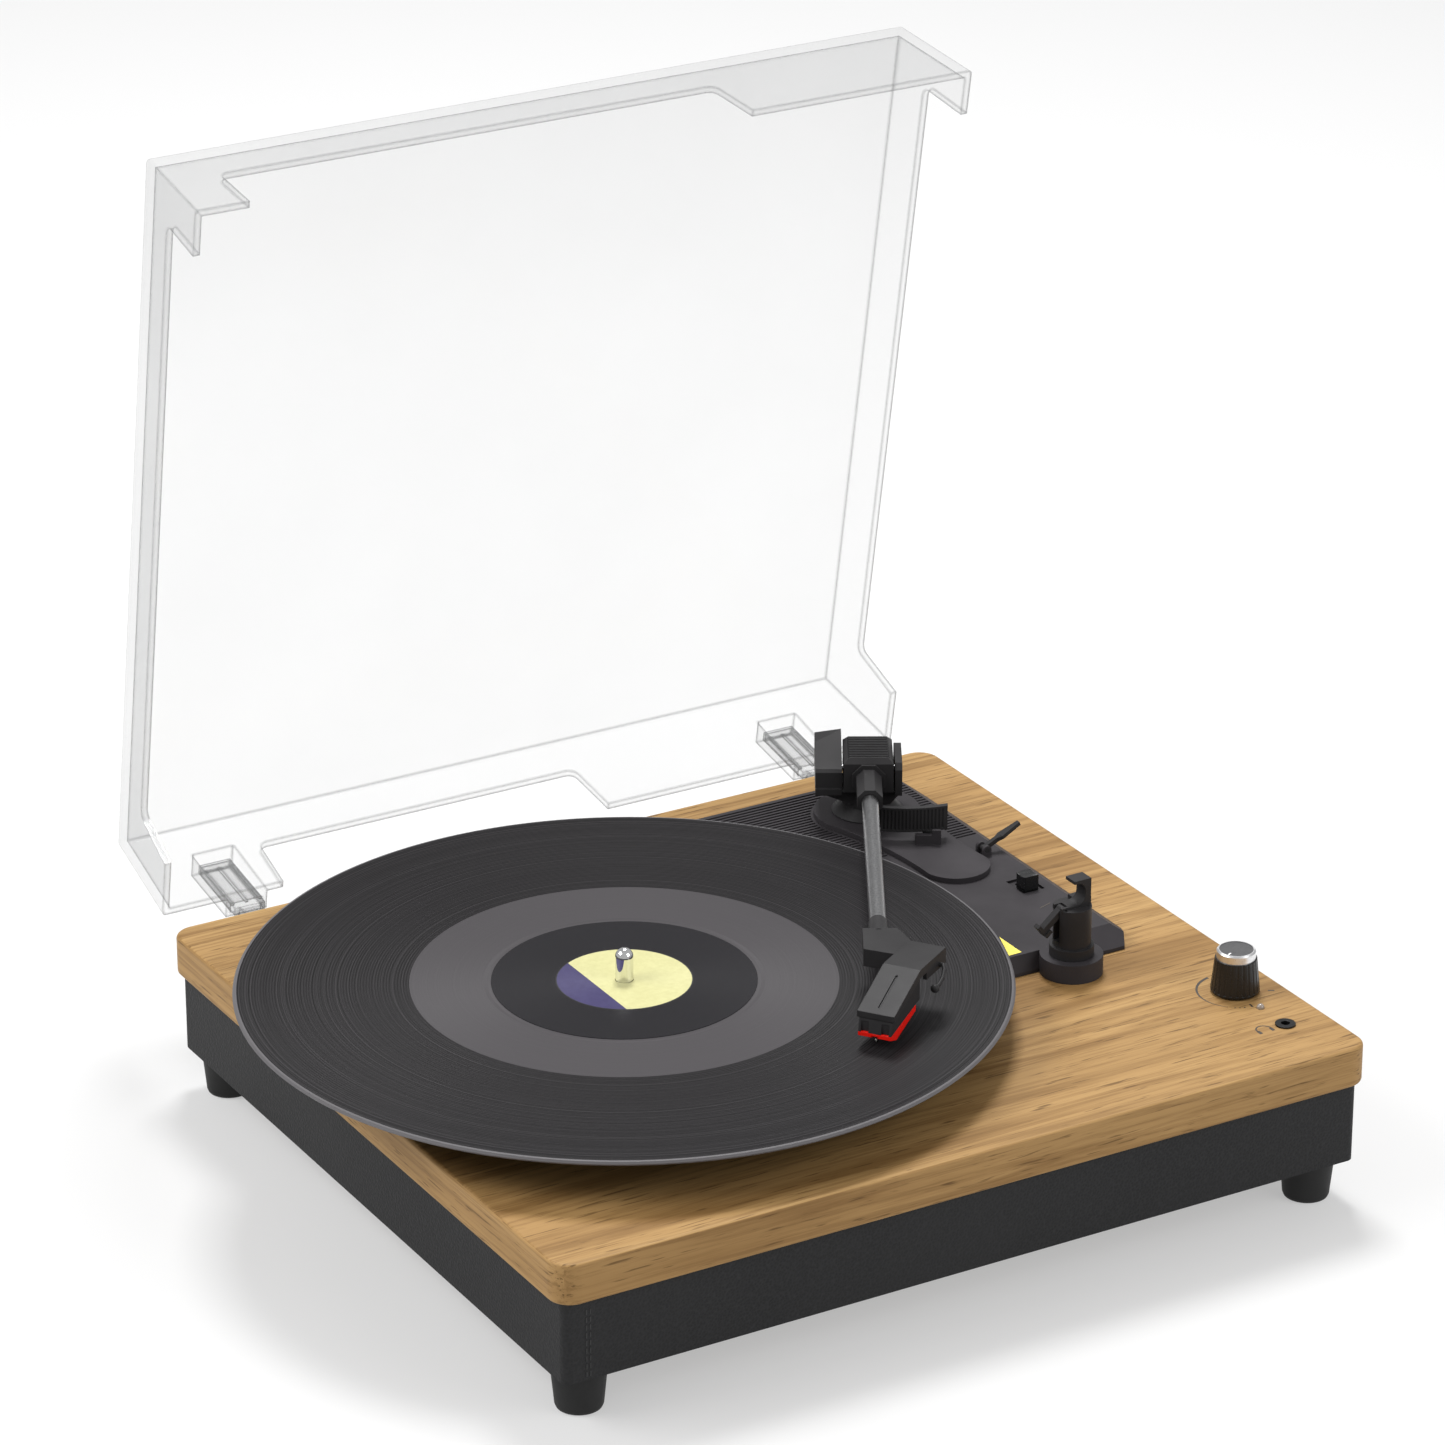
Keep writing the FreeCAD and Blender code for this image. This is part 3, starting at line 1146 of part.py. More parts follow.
def make_lid():
    low = deck_top + lid_rest_gap
    top = low + lid_wall_height
    outer = lid_block(low, top, 0.0)
    edges = [e for e in outer.Edges if min(v.Z for v in e.Vertexes) > low + 1
             or abs(e.Vertexes[0].Z - e.Vertexes[1].Z) > 1]
    outer = outer.makeFillet(1.6, edges)
    inner = lid_block(low - 3, top - lid_thickness, lid_thickness)
    lid = outer.cut(inner)
    left = lid_centre_x - lid_plate_width / 2
    right = lid_centre_x + lid_plate_width / 2
    band = top - lid_band
    front, back = lid_plate_front, lid_plate_back
    reach = 12.0
    cuts = [
        prism_y([(left + 20, band), (left + 237, band), (left + 240, low - 5), (left + 20, low - 5)],
                front - reach, front + reach),
        prism_y([(left + 53, band), (left + 200, band), (left + 203, low - 5), (left + 51, low - 5)],
                back - reach, back + reach)]
    for x in (left, right):
        cuts.append(prism_x([(front + 17, band), (front + 286, band), (front + 294, low - 5),
                             (front + 17, low - 5)], x - reach, x + reach))
    for cut in cuts:
        soft = [e for e in cut.Edges if all(abs(v.Z - band) < 1e-6 for v in e.Vertexes)
                and min(cut.BoundBox.XLength, cut.BoundBox.YLength) - 0.01 < e.Length
                < min(cut.BoundBox.XLength, cut.BoundBox.YLength) + 0.01]
        lid = lid.cut(cut.makeFillet(4.0, soft))
    # sockets for the hinge leaves, outside the back wall
    wall_low = lid_plate_back + lid_back_draft
    pocket_top = top - hinge_pocket_from_plate
    for x in hinge_offsets:
        half = hinge_width / 2
        pocket = box(x - half, x + half, lid_plate_back + 1.0, wall_low + hinge_pocket_depth, low, pocket_top)
        pocket = pocket.cut(lid_block(low - 3, top, 0.6))
        slot = box(x - half + 2.2, x + half - 2.2, wall_low + 2.4, wall_low + hinge_pocket_depth - 1.8, low - 1,
                   pocket_top - 2.0)
        lid = lid.fuse(pocket).cut(slot)
    add("lid", open_lid(lid.removeSplitter()))

    leaves, brackets, pins = [], [], []
    for x in hinge_offsets:
        half = hinge_width / 2 - 2.4
        y0, y1 = wall_low + 2.6, wall_low + hinge_pocket_depth - 2.0
        tongue = box(x - half, x + half, y0, y1, low - 3, pocket_top - 3.0)
        for side in (-0.45, 0.0, 0.45):
            tongue = tongue.cut(box(x + side * 2 * half - 0.6, x + side * 2 * half + 0.6, y0 - 1, y0 + 0.7,
                                    low, pocket_top - 6))
        leg = box(x - knuckle_width / 2, x + knuckle_width / 2, y0 + 0.2, y1 + 1.2, hinge_z, low - 2)
        knuckle = rod((x - knuckle_width / 2, hinge_y, hinge_z), (1, 0, 0), knuckle_radius, knuckle_width)
        leaf = fuse([tongue, leg, knuckle])
        leaf = leaf.cut(rod((x - 20, hinge_y, hinge_z), (1, 0, 0), hinge_pin_radius + shaft_clearance, 40))
        leaves.append(open_lid(leaf))

        low_z = hinge_z - 32.0
        back = box(x - half - 2.4, x + half + 2.4, out_y, out_y + hinge_plate, low_z, box_top - 0.3)
        ears = []
        for side in (-1, 1):
            e0 = x + side * (knuckle_width / 2 + 0.3)
            x0, x1 = sorted((e0, e0 + side * ear_width))
            ear = prism_x([(out_y + 2.9, hinge_z - 18), (hinge_y + 4.4, hinge_z - 2), (hinge_y + 4.4, hinge_z),
                           (hinge_y - 4.4, hinge_z), (out_y + 2.9 + 1.2, box_top - 0.3), (out_y + 2.9, box_top - 0.3)],
                          x0, x1)
            ears.append(ear.fuse(rod((x0, hinge_y, hinge_z), (1, 0, 0), 4.4, x1 - x0)))
        bracket = fuse([back] + ears)
        bracket = bracket.cut(rod((x - 20, hinge_y, hinge_z), (1, 0, 0), hinge_pin_radius, 40))
        for z in hinge_screw_heights():
            bracket = bracket.cut(rod((x, out_y - 1, z), (0, 1, 0), screw_radius, 8))
        brackets.append(bracket)
        reach = knuckle_width / 2 + 0.3 + ear_width
        pins.append(rod((x - reach, hinge_y, hinge_z), (1, 0, 0), hinge_pin_radius, 2 * reach))
    add("lid_hinge_leaves", Part.makeCompound(leaves))
    add("lid_hinge_brackets", Part.makeCompound(brackets))
    add("lid_hinge_pins", Part.makeCompound(pins))
    screws = [rear_screw(x, z, hinge_plate) for x in hinge_offsets for z in hinge_screw_heights()]
    screws += [rear_screw(x, rear_z, rear_thickness) for x in rear_screw_places()]
    add("rear_screws", Part.makeCompound(screws))


# --------------------------- build and write -------------------------------

make_cabinet()
make_feet()
make_deck()
make_platter()
make_drive()
make_plate()
make_arm_base()
make_turret()
make_arm()
make_rest()
make_cueing()
make_controls()
make_speakers()
make_electronics()
make_rear()
make_lid()

whole = Part.makeCompound(list(parts.values())).optimalBoundingBox(False, False)
to_origin = V(-(whole.XMin + whole.XMax) / 2, -(whole.YMin + whole.YMax) / 2, 0)

os.makedirs("parts", exist_ok=True)
for name, shape in parts.items():
    placed = shape.copy()
    placed.translate(to_origin)
    placed.exportStep("parts/" + name + ".step")
print("shift", round(to_origin.x, 4), round(to_origin.y, 4), "nodes", len(parts))
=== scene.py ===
import json
import math

import bmesh
import bpy
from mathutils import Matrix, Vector


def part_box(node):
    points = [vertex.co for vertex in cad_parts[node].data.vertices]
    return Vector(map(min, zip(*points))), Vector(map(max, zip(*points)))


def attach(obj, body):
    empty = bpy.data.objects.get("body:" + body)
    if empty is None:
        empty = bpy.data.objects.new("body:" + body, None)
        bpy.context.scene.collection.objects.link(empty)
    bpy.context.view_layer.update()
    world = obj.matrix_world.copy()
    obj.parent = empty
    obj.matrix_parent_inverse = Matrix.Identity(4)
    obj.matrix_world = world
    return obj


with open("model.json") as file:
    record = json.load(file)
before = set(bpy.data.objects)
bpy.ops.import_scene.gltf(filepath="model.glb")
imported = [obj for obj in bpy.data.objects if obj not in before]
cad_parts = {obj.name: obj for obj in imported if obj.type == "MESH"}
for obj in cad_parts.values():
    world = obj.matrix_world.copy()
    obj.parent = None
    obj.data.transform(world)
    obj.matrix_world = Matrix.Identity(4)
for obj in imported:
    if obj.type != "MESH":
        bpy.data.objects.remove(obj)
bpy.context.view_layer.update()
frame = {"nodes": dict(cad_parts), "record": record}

# --------------------------- places, all from the frame ---------------------------

MM = 0.001
deck_low, deck_high = (Vector(p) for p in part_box("deck_board"))
CENTRE = (deck_low + deck_high) / 2
record_low, record_high = (Vector(p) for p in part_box("record"))
RECORD = (record_low + record_high) / 2
RECORD_RADIUS = (record_high.x - record_low.x) / 2
knob_low, knob_high = (Vector(p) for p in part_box("volume_knob"))
KNOB = (knob_low + knob_high) / 2
jack_low, jack_high = (Vector(p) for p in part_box("headphone_socket"))
shell_low, shell_high = (Vector(p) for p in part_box("cabinet_shell"))

# sizes of what is printed, pressed or painted as light rather than built, in millimetres
GREY_BAND_RADIUS = 83.0
INNER_LABEL_RADIUS = 26.5
GROOVE_PITCH = 1.1
RIM_HIGHLIGHT_WIDTH = 1.5
DOT_REACH = 15.2
SEAM_FROM_CORNER = 9.0
STITCH_PITCH = 3.2
STITCH_LENGTH = 2.1
STITCH_WIDTH = 0.5
STITCH_ROWS_APART = 1.6
STITCH_SUNK = 0.1
STITCH_PROUD = 0.18
PRINT_LOW, PRINT_HIGH = 68.17, 68.24
PLATE_LOW, PLATE_HIGH = 76.17, 76.27
CAP_HEIGHT = 3.5
POINTER_ANGLE = 205
POINTER_INNER, POINTER_OUTER, POINTER_HALF_WIDTH = 4.3, 6.1, 0.33

# the same in metres, for the materials
LABEL_SPLIT = (-1, 0, 0)
LABEL_SPLIT_AT = 0.0121
CLEAR_EDGE = 0.0022
CAP_TOP_RADIUS = 6.7 * MM


def at(x, y, z):
    """A point given in millimetres from the middle of the deck's outline, with z from the table."""
    return Vector((CENTRE.x + x * MM, CENTRE.y + y * MM, z * MM))


# --------------------------- camera -----------------------------------------------

CAMERA_PLACE = at(-1087.6, -1841.7, 1122.2)
CAMERA_TURN = 30.18
CAMERA_DOWN = 23.75
CAMERA_LENS = 151.4

camera_data = bpy.data.cameras.new("camera")
camera_data.lens = CAMERA_LENS
camera_data.sensor_width = 36.0
camera_data.clip_end = 20.0
camera = bpy.data.objects.new("camera", camera_data)
camera.location = CAMERA_PLACE
camera.rotation_euler = (math.radians(90 - CAMERA_DOWN), 0, math.radians(-CAMERA_TURN))
bpy.context.collection.objects.link(camera)
bpy.context.scene.camera = camera


# --------------------------- node helpers -----------------------------------------

class Nodes:
    """A material's node tree, with short calls for the nodes used here."""

    def __init__(self, name):
        self.material = bpy.data.materials.new(name)
        self.material.use_nodes = True
        self.tree = self.material.node_tree
        self.shader = self.tree.nodes["Principled BSDF"]

    def add(self, kind, **settings):
        node = self.tree.nodes.new(kind)
        for key, value in settings.items():
            setattr(node, key, value)
        return node

    def link(self, source, target):
        self.tree.links.new(source, target)

    def set(self, **values):
        for key, value in values.items():
            self.shader.inputs[key.replace("_", " ")].default_value = value

    def coordinates(self, scale=(1, 1, 1)):
        source = self.add("ShaderNodeTexCoord").outputs["Object"]
        mapping = self.add("ShaderNodeMapping")
        mapping.inputs["Scale"].default_value = scale
        self.link(source, mapping.inputs["Vector"])
        return mapping.outputs["Vector"]

    def noise(self, vector, scale, detail=2.0, roughness=0.5, distortion=0.0):
        node = self.add("ShaderNodeTexNoise")
        node.inputs["Scale"].default_value = scale
        node.inputs["Detail"].default_value = detail
        node.inputs["Roughness"].default_value = roughness
        node.inputs["Distortion"].default_value = distortion
        self.link(vector, node.inputs["Vector"])
        return node.outputs["Fac"]

    def cells(self, vector, scale):
        node = self.add("ShaderNodeTexVoronoi")
        node.inputs["Scale"].default_value = scale
        self.link(vector, node.inputs["Vector"])
        return node.outputs["Distance"]

    def ramp(self, factor, *stops):
        node = self.add("ShaderNodeValToRGB")
        elements = node.color_ramp.elements
        while len(elements) < len(stops):
            elements.new(0.5)
        for element, (place, color) in zip(elements, stops):
            element.position = place
            element.color = (*color, 1)
        self.link(factor, node.inputs["Fac"])
        return node.outputs["Color"]

    def math(self, operation, a, b=0.0):
        node = self.add("ShaderNodeMath", operation=operation)
        for socket, value in zip(node.inputs, (a, b)):
            if isinstance(value, (int, float)):
                socket.default_value = value
            else:
                self.link(value, socket)
        return node.outputs["Value"]

    def mix(self, factor, a, b):
        node = self.add("ShaderNodeMix", data_type="RGBA")
        for name, value in ((0, factor), (6, a), (7, b)):
            socket = node.inputs[name]
            if isinstance(value, (int, float)):
                socket.default_value = value
            elif isinstance(value, tuple):
                socket.default_value = (*value, 1)
            else:
                self.link(value, socket)
        return node.outputs[2]

    def color(self, source):
        self.link(source, self.shader.inputs["Base Color"])

    def roughness(self, factor, low, high):
        node = self.add("ShaderNodeMapRange")
        node.inputs["To Min"].default_value = low
        node.inputs["To Max"].default_value = high
        self.link(factor, node.inputs["Value"])
        self.link(node.outputs["Result"], self.shader.inputs["Roughness"])

    def soft_edges(self, radius):
        node = self.add("ShaderNodeBevel", samples=6)
        node.inputs["Radius"].default_value = radius
        self.link(node.outputs["Normal"], self.shader.inputs["Normal"])

    def bump(self, height, distance, strength=1.0):
        node = self.add("ShaderNodeBump")
        node.inputs["Distance"].default_value = distance
        node.inputs["Strength"].default_value = strength
        self.link(height, node.inputs["Height"])
        previous = self.shader.inputs["Normal"].links
        if previous:
            self.link(previous[0].from_socket, node.inputs["Normal"])
        self.link(node.outputs["Normal"], self.shader.inputs["Normal"])


# --------------------------- materials --------------------------------------------

def wood_material():
    """Satin wood-grain vinyl, its grain along X on top and along each edge on the sides."""
    m = Nodes("wood_grain")
    m.shader.inputs["Specular IOR Level"].default_value = 0.16
    source = m.add("ShaderNodeTexCoord").outputs["Object"]
    split = m.add("ShaderNodeSeparateXYZ")
    m.link(source, split.inputs["Vector"])
    swapped = m.add("ShaderNodeCombineXYZ")
    m.link(split.outputs["Y"], swapped.inputs["X"])
    m.link(split.outputs["Z"], swapped.inputs["Y"])
    m.link(split.outputs["X"], swapped.inputs["Z"])
    fronted = m.add("ShaderNodeCombineXYZ")
    m.link(split.outputs["X"], fronted.inputs["X"])
    m.link(split.outputs["Z"], fronted.inputs["Y"])
    m.link(split.outputs["Y"], fronted.inputs["Z"])
    normal = m.add("ShaderNodeSeparateXYZ")
    m.link(m.add("ShaderNodeNewGeometry").outputs["True Normal"], normal.inputs["Vector"])
    side = m.math("GREATER_THAN", m.math("ABSOLUTE", normal.outputs["X"]), 0.7)
    front = m.math("GREATER_THAN", m.math("ABSOLUTE", normal.outputs["Y"]), 0.7)

    def choose(factor, a, b):
        node = m.add("ShaderNodeMix", data_type="VECTOR")
        m.link(factor, node.inputs[0])
        m.link(a, node.inputs[4])
        m.link(b, node.inputs[5])
        return node.outputs[1]

    grain = choose(side, choose(front, source, fronted.outputs["Vector"]), swapped.outputs["Vector"])

    def scaled(x, y, z):
        mapping = m.add("ShaderNodeMapping")
        mapping.inputs["Scale"].default_value = (x, y, z)
        m.link(grain, mapping.inputs["Vector"])
        return mapping.outputs["Vector"]

    # long uneven figure, finer streaks, fibres and short dark pores, all drawn out along the board
    figure = m.noise(scaled(1.5, 24, 24), 1.0, 4.0, 0.55, 1.6)
    streak = m.noise(scaled(3.0, 95, 95), 1.0, 5.0, 0.62, 0.9)
    fibre = m.noise(scaled(14, 520, 520), 1.0, 5.0, 0.7, 0.3)
    pore = m.noise(scaled(60, 900, 900), 1.0, 2.0, 0.5, 0.2)
    broad = m.noise(scaled(0.9, 6, 6), 1.0, 3.0, 0.5, 0.8)
    base = m.ramp(figure, (0.28, (0.235, 0.128, 0.043)), (0.48, (0.36, 0.212, 0.08)),
                  (0.74, (0.44, 0.275, 0.112)))
    base = m.mix(m.ramp(broad, (0.3, (0, 0, 0)), (0.75, (0.5, 0.5, 0.5))), base, (0.46, 0.29, 0.12))
    base = m.mix(m.ramp(streak, (0.36, (0.7, 0.7, 0.7)), (0.50, (0, 0, 0))), base, (0.20, 0.105, 0.034))
    base = m.mix(m.ramp(fibre, (0.38, (0.5, 0.5, 0.5)), (0.54, (0, 0, 0))), base, (0.17, 0.088, 0.028))
    base = m.mix(m.ramp(pore, (0.30, (0.7, 0.7, 0.7)), (0.38, (0, 0, 0))), base, (0.09, 0.045, 0.015))
    m.color(base)
    m.roughness(fibre, 0.42, 0.62)
    m.soft_edges(0.0005)
    m.bump(fibre, 0.00005, 0.6)
    m.bump(streak, 0.00006, 0.4)
    return m.material


def leatherette_material():
    """Black leather-like cover with a fine pebbled grain."""
    m = Nodes("leatherette")
    m.shader.inputs["Specular IOR Level"].default_value = 0.22
    place = m.coordinates()
    grain = m.cells(place, 900.0)
    fine = m.noise(place, 1500.0, 3.0, 0.6)
    broad = m.noise(place, 18.0, 3.0, 0.5)
    m.color(m.mix(grain, m.ramp(broad, (0.3, (0.009, 0.009, 0.0095)), (0.7, (0.014, 0.014, 0.0145))),
                  (0.022, 0.022, 0.023)))
    m.roughness(fine, 0.5, 0.72)
    m.bump(grain, 0.00016, 0.8)
    m.bump(fine, 0.00005, 0.5)
    return m.material


def plastic_material(name, low, high, roughness=(0.38, 0.55), grain=1400.0, depth=0.00003, shine=0.25):
    """Moulded plastic with a fine spark-eroded surface and a faint drift of tone."""
    m = Nodes(name)
    m.shader.inputs["Specular IOR Level"].default_value = shine
    m.soft_edges(0.00035)
    place = m.coordinates()
    fine = m.noise(place, grain, 2.0, 0.6)
    drift = m.noise(place, 35.0, 3.0, 0.5)
    m.color(m.ramp(drift, (0.3, low), (0.7, high)))
    m.roughness(m.noise(place, 120.0, 3.0, 0.6), *roughness)
    m.bump(fine, depth, 0.6)
    return m.material


def metal_material(name, low, high, roughness=(0.2, 0.35), stretch=(1, 1, 1), scale=900.0):
    """Metal with brushing: noise drawn out along one direction."""
    m = Nodes(name)
    m.set(Metallic=1.0)
    brush = m.noise(m.coordinates(stretch), scale, 3.0, 0.6)
    m.color(m.ramp(brush, (0.3, low), (0.7, high)))
    m.roughness(brush, *roughness)
    m.bump(brush, 0.00001, 0.5)
    return m.material


def radial(m, centre):
    """Distance from an upright axis through centre, in metres, and the flat offset from it."""
    shift = m.add("ShaderNodeVectorMath", operation="SUBTRACT")
    shift.inputs[1].default_value = centre
    m.link(m.add("ShaderNodeTexCoord").outputs["Object"], shift.inputs[0])
    flat = m.add("ShaderNodeVectorMath", operation="MULTIPLY")
    flat.inputs[1].default_value = (1, 1, 0)
    m.link(shift.outputs["Vector"], flat.inputs[0])
    length = m.add("ShaderNodeVectorMath", operation="LENGTH")
    m.link(flat.outputs["Vector"], length.inputs[0])
    return length.outputs["Value"], flat.outputs["Vector"]


def disc_distance(m):
    """Distance from the record's axis, in millimetres, and the flat offset from it in metres."""
    distance, flat = radial(m, RECORD)
    return m.math("MULTIPLY", distance, 1000.0), flat


def vinyl_material():
    """Record vinyl: a paler band inside, painted as the reflection of the smooth runout, then fine grooves
    in rings of painted lighter sheen, and a painted highlight line round the rim.
    """
    m = Nodes("record_vinyl")
    m.set(Anisotropic=0.7)
    m.shader.inputs["Specular IOR Level"].default_value = 0.10
    tangent = m.add("ShaderNodeTangent", direction_type="RADIAL", axis="Z")
    m.link(tangent.outputs["Tangent"], m.shader.inputs["Tangent"])
    distance, _ = disc_distance(m)
    band = m.add("ShaderNodeTexNoise", noise_dimensions="1D")
    band.inputs["Scale"].default_value = 1.1
    band.inputs["Detail"].default_value = 5.0
    band.inputs["Roughness"].default_value = 0.7
    m.link(distance, band.inputs["W"])
    # painted sheen: the lighter rings in this ramp stand in for highlights caught along the grooves, not
    # for a darker vinyl between tracks
    groove_ring_sheen = m.ramp(band.outputs["Fac"], (0.36, (0.0075, 0.007, 0.0075)), (0.6, (0.017, 0.0155, 0.017)),
                     (0.72, (0.05, 0.047, 0.05)))
    # painted reflection: inside GREY_BAND_RADIUS the smooth runout is coloured a paler grey in place of its
    # shine
    runout_painted_reflection = m.ramp(band.outputs["Fac"], (0.3, (0.060, 0.056, 0.060)), (0.7, (0.067, 0.063, 0.067)))
    inner = m.math("LESS_THAN", distance, GREY_BAND_RADIUS)
    # painted highlight: a pale grey line round the outer edge stands in for light caught on the rim
    rim = m.math("GREATER_THAN", distance, RECORD_RADIUS / MM - RIM_HIGHLIGHT_WIDTH)
    m.color(m.mix(rim, m.mix(inner, groove_ring_sheen, runout_painted_reflection), (0.12, 0.115, 0.12)))
    m.roughness(band.outputs["Fac"], 0.34, 0.46)
    ring = m.math("SINE", m.math("MULTIPLY", distance, 2 * math.pi / GROOVE_PITCH))
    outside = m.math("GREATER_THAN", distance, GREY_BAND_RADIUS)
    m.bump(m.math("MULTIPLY", ring, outside), 0.00004, 0.6)
    m.bump(band.outputs["Fac"], 0.00006, 0.5)
    return m.material


def label_material():
    """Glossy black label with a cream and indigo middle, quite plain."""
    m = Nodes("record_label_print")
    m.set(Anisotropic=0.6)
    m.shader.inputs["Specular IOR Level"].default_value = 0.15
    tangent = m.add("ShaderNodeTangent", direction_type="RADIAL", axis="Z")
    m.link(tangent.outputs["Tangent"], m.shader.inputs["Tangent"])
    distance, flat = disc_distance(m)
    band = m.add("ShaderNodeTexNoise", noise_dimensions="1D")
    band.inputs["Scale"].default_value = 2.5
    m.link(distance, band.inputs["W"])
    black = m.ramp(band.outputs["Fac"], (0.3, (0.009, 0.0085, 0.010)), (0.7, (0.015, 0.014, 0.017)))
    paper = m.noise(m.coordinates(), 420.0, 4.0, 0.6)
    cream = m.ramp(paper, (0.3, (0.52, 0.50, 0.25)), (0.7, (0.58, 0.56, 0.29)))
    indigo = m.ramp(paper, (0.3, (0.045, 0.038, 0.105)), (0.7, (0.055, 0.048, 0.125)))
    along = m.add("ShaderNodeVectorMath", operation="DOT_PRODUCT")
    m.link(flat, along.inputs[0])
    along.inputs[1].default_value = LABEL_SPLIT
    dark_part = m.math("GREATER_THAN", along.outputs["Value"], LABEL_SPLIT_AT)
    middle = m.mix(dark_part, cream, indigo)
    inside = m.math("LESS_THAN", distance, INNER_LABEL_RADIUS)
    edge = m.math("LESS_THAN", m.math("ABSOLUTE", m.math("SUBTRACT", distance, INNER_LABEL_RADIUS)), 0.35)
    m.color(m.mix(edge, m.mix(inside, black, middle), (0.02, 0.02, 0.022)))
    m.roughness(inside, 0.24, 0.45)
    m.bump(band.outputs["Fac"], 0.00003, 0.4)
    return m.material


def cap_material():
    """Knob cap: a bright turned rim round a greyer brushed top."""
    m = Nodes("knob_cap")
    m.set(Metallic=1.0)
    distance, _ = radial(m, KNOB)
    brush = m.noise(m.coordinates((1, 14, 1)), 700.0, 3.0, 0.6)
    top = m.ramp(brush, (0.3, (0.15, 0.15, 0.155)), (0.7, (0.23, 0.23, 0.235)))
    rim = m.ramp(brush, (0.3, (0.74, 0.74, 0.75)), (0.7, (0.86, 0.86, 0.87)))
    m.color(m.mix(m.math("LESS_THAN", distance, CAP_TOP_RADIUS), rim, top))
    m.roughness(brush, 0.22, 0.4)
    m.bump(brush, 0.00001, 0.5)
    return m.material


def paper_material(name, color, shade):
    """Print, paper or thread: a matt surface with a slight mottle."""
    m = Nodes(name)
    place = m.coordinates()
    m.color(m.ramp(m.noise(place, 420.0, 4.0, 0.6), (0.3, shade), (0.7, color)))
    m.roughness(m.noise(place, 900.0, 2.0, 0.5), 0.4, 0.6)
    m.bump(m.noise(place, 2400.0, 2.0, 0.5), 0.00001, 0.5)
    return m.material


def clear_material(name, shade, face_cover, edge_shade_cover):
    """Clear moulded plastic: hardly there face on, with a soft grey painted as shade where it is seen along
    its thickness and along its rounded edges, in place of refraction.
    """
    m = Nodes(name)
    m.shader.inputs["Base Color"].default_value = (*shade, 1)
    m.shader.inputs["Specular IOR Level"].default_value = 0.5
    facing = m.add("ShaderNodeLayerWeight")
    facing.inputs["Blend"].default_value = 0.5
    cloud = m.noise(m.coordinates(), 12.0, 3.0, 0.5)
    m.roughness(cloud, 0.04, 0.09)
    # painted shade: the grey cover grows towards grazing angles in place of the darkening that refraction
    # gives along the thickness
    cover = m.add("ShaderNodeMapRange", interpolation_type="SMOOTHSTEP")
    cover.inputs["From Min"].default_value = 0.55
    cover.inputs["From Max"].default_value = 1.0
    cover.inputs["To Min"].default_value = face_cover
    cover.inputs["To Max"].default_value = edge_shade_cover
    m.link(facing.outputs["Facing"], cover.inputs["Value"])
    drift = m.add("ShaderNodeMapRange")
    drift.inputs["To Min"].default_value = 0.8
    drift.inputs["To Max"].default_value = 1.2
    m.link(cloud, drift.inputs["Value"])
    # painted shade: rounded edges get more grey cover, standing in for the lines that refraction draws
    # along them
    rounded = m.add("ShaderNodeBevel", samples=4)
    rounded.inputs["Radius"].default_value = CLEAR_EDGE
    flat = m.add("ShaderNodeNewGeometry")
    bend = m.add("ShaderNodeVectorMath", operation="DOT_PRODUCT")
    m.link(rounded.outputs["Normal"], bend.inputs[0])
    m.link(flat.outputs["Normal"], bend.inputs[1])
    rim = m.math("MINIMUM", m.math("MULTIPLY", m.math("SUBTRACT", 1.0, bend.outputs["Value"]), 5.0), 0.65)
    body = m.math("MULTIPLY", cover.outputs["Result"], drift.outputs["Result"])
    m.link(m.math("MAXIMUM", body, rim), m.shader.inputs["Alpha"])
    m.bump(cloud, 0.00005, 0.1)
    return m.material


WOOD = wood_material()
LEATHERETTE = leatherette_material()
ARM_PLASTIC = plastic_material("arm_plastic", (0.021, 0.020, 0.021), (0.032, 0.031, 0.032),
                               (0.4, 0.52), shine=0.15)
PLATE_PLASTIC = plastic_material("plate_plastic", (0.034, 0.031, 0.034), (0.048, 0.044, 0.048),
                                 (0.42, 0.55), shine=0.12)
KNOB_PLASTIC = plastic_material("knob_plastic", (0.006, 0.006, 0.0065), (0.010, 0.010, 0.0105),
                                (0.22, 0.32), shine=0.4)
SOCKET_PLASTIC = plastic_material("socket_plastic", (0.006, 0.006, 0.006), (0.011, 0.011, 0.011),
                                  (0.25, 0.4))
RUBBER = plastic_material("foot_rubber", (0.010, 0.010, 0.010), (0.018, 0.018, 0.018), (0.5, 0.7),
                          700.0, 0.00006)
BELT = plastic_material("belt_rubber", (0.012, 0.012, 0.012), (0.02, 0.02, 0.02), (0.6, 0.8))
MAT = plastic_material("mat_rubber", (0.02, 0.02, 0.021), (0.032, 0.032, 0.033), (0.7, 0.9), 1200.0, 0.0001)
RED = plastic_material("red_plastic", (0.72, 0.008, 0.004), (0.84, 0.014, 0.007), (0.2, 0.32))
LAMP = plastic_material("lamp_lens", (0.30, 0.25, 0.21), (0.42, 0.36, 0.32), (0.06, 0.12), shine=0.8)
BOARD_GREEN = plastic_material("board_green", (0.02, 0.10, 0.04), (0.04, 0.16, 0.06), (0.3, 0.5))
PANEL_BOARD = plastic_material("panel_board", (0.055, 0.04, 0.028), (0.10, 0.075, 0.05), (0.6, 0.8),
                               500.0, 0.0001)
BLOCK_WOOD = plastic_material("block_wood", (0.40, 0.27, 0.15), (0.55, 0.40, 0.25), (0.6, 0.8),
                              500.0, 0.0001)
CONE_PAPER = plastic_material("cone_paper", (0.02, 0.02, 0.022), (0.04, 0.04, 0.042), (0.7, 0.9),
                              500.0, 0.0001)
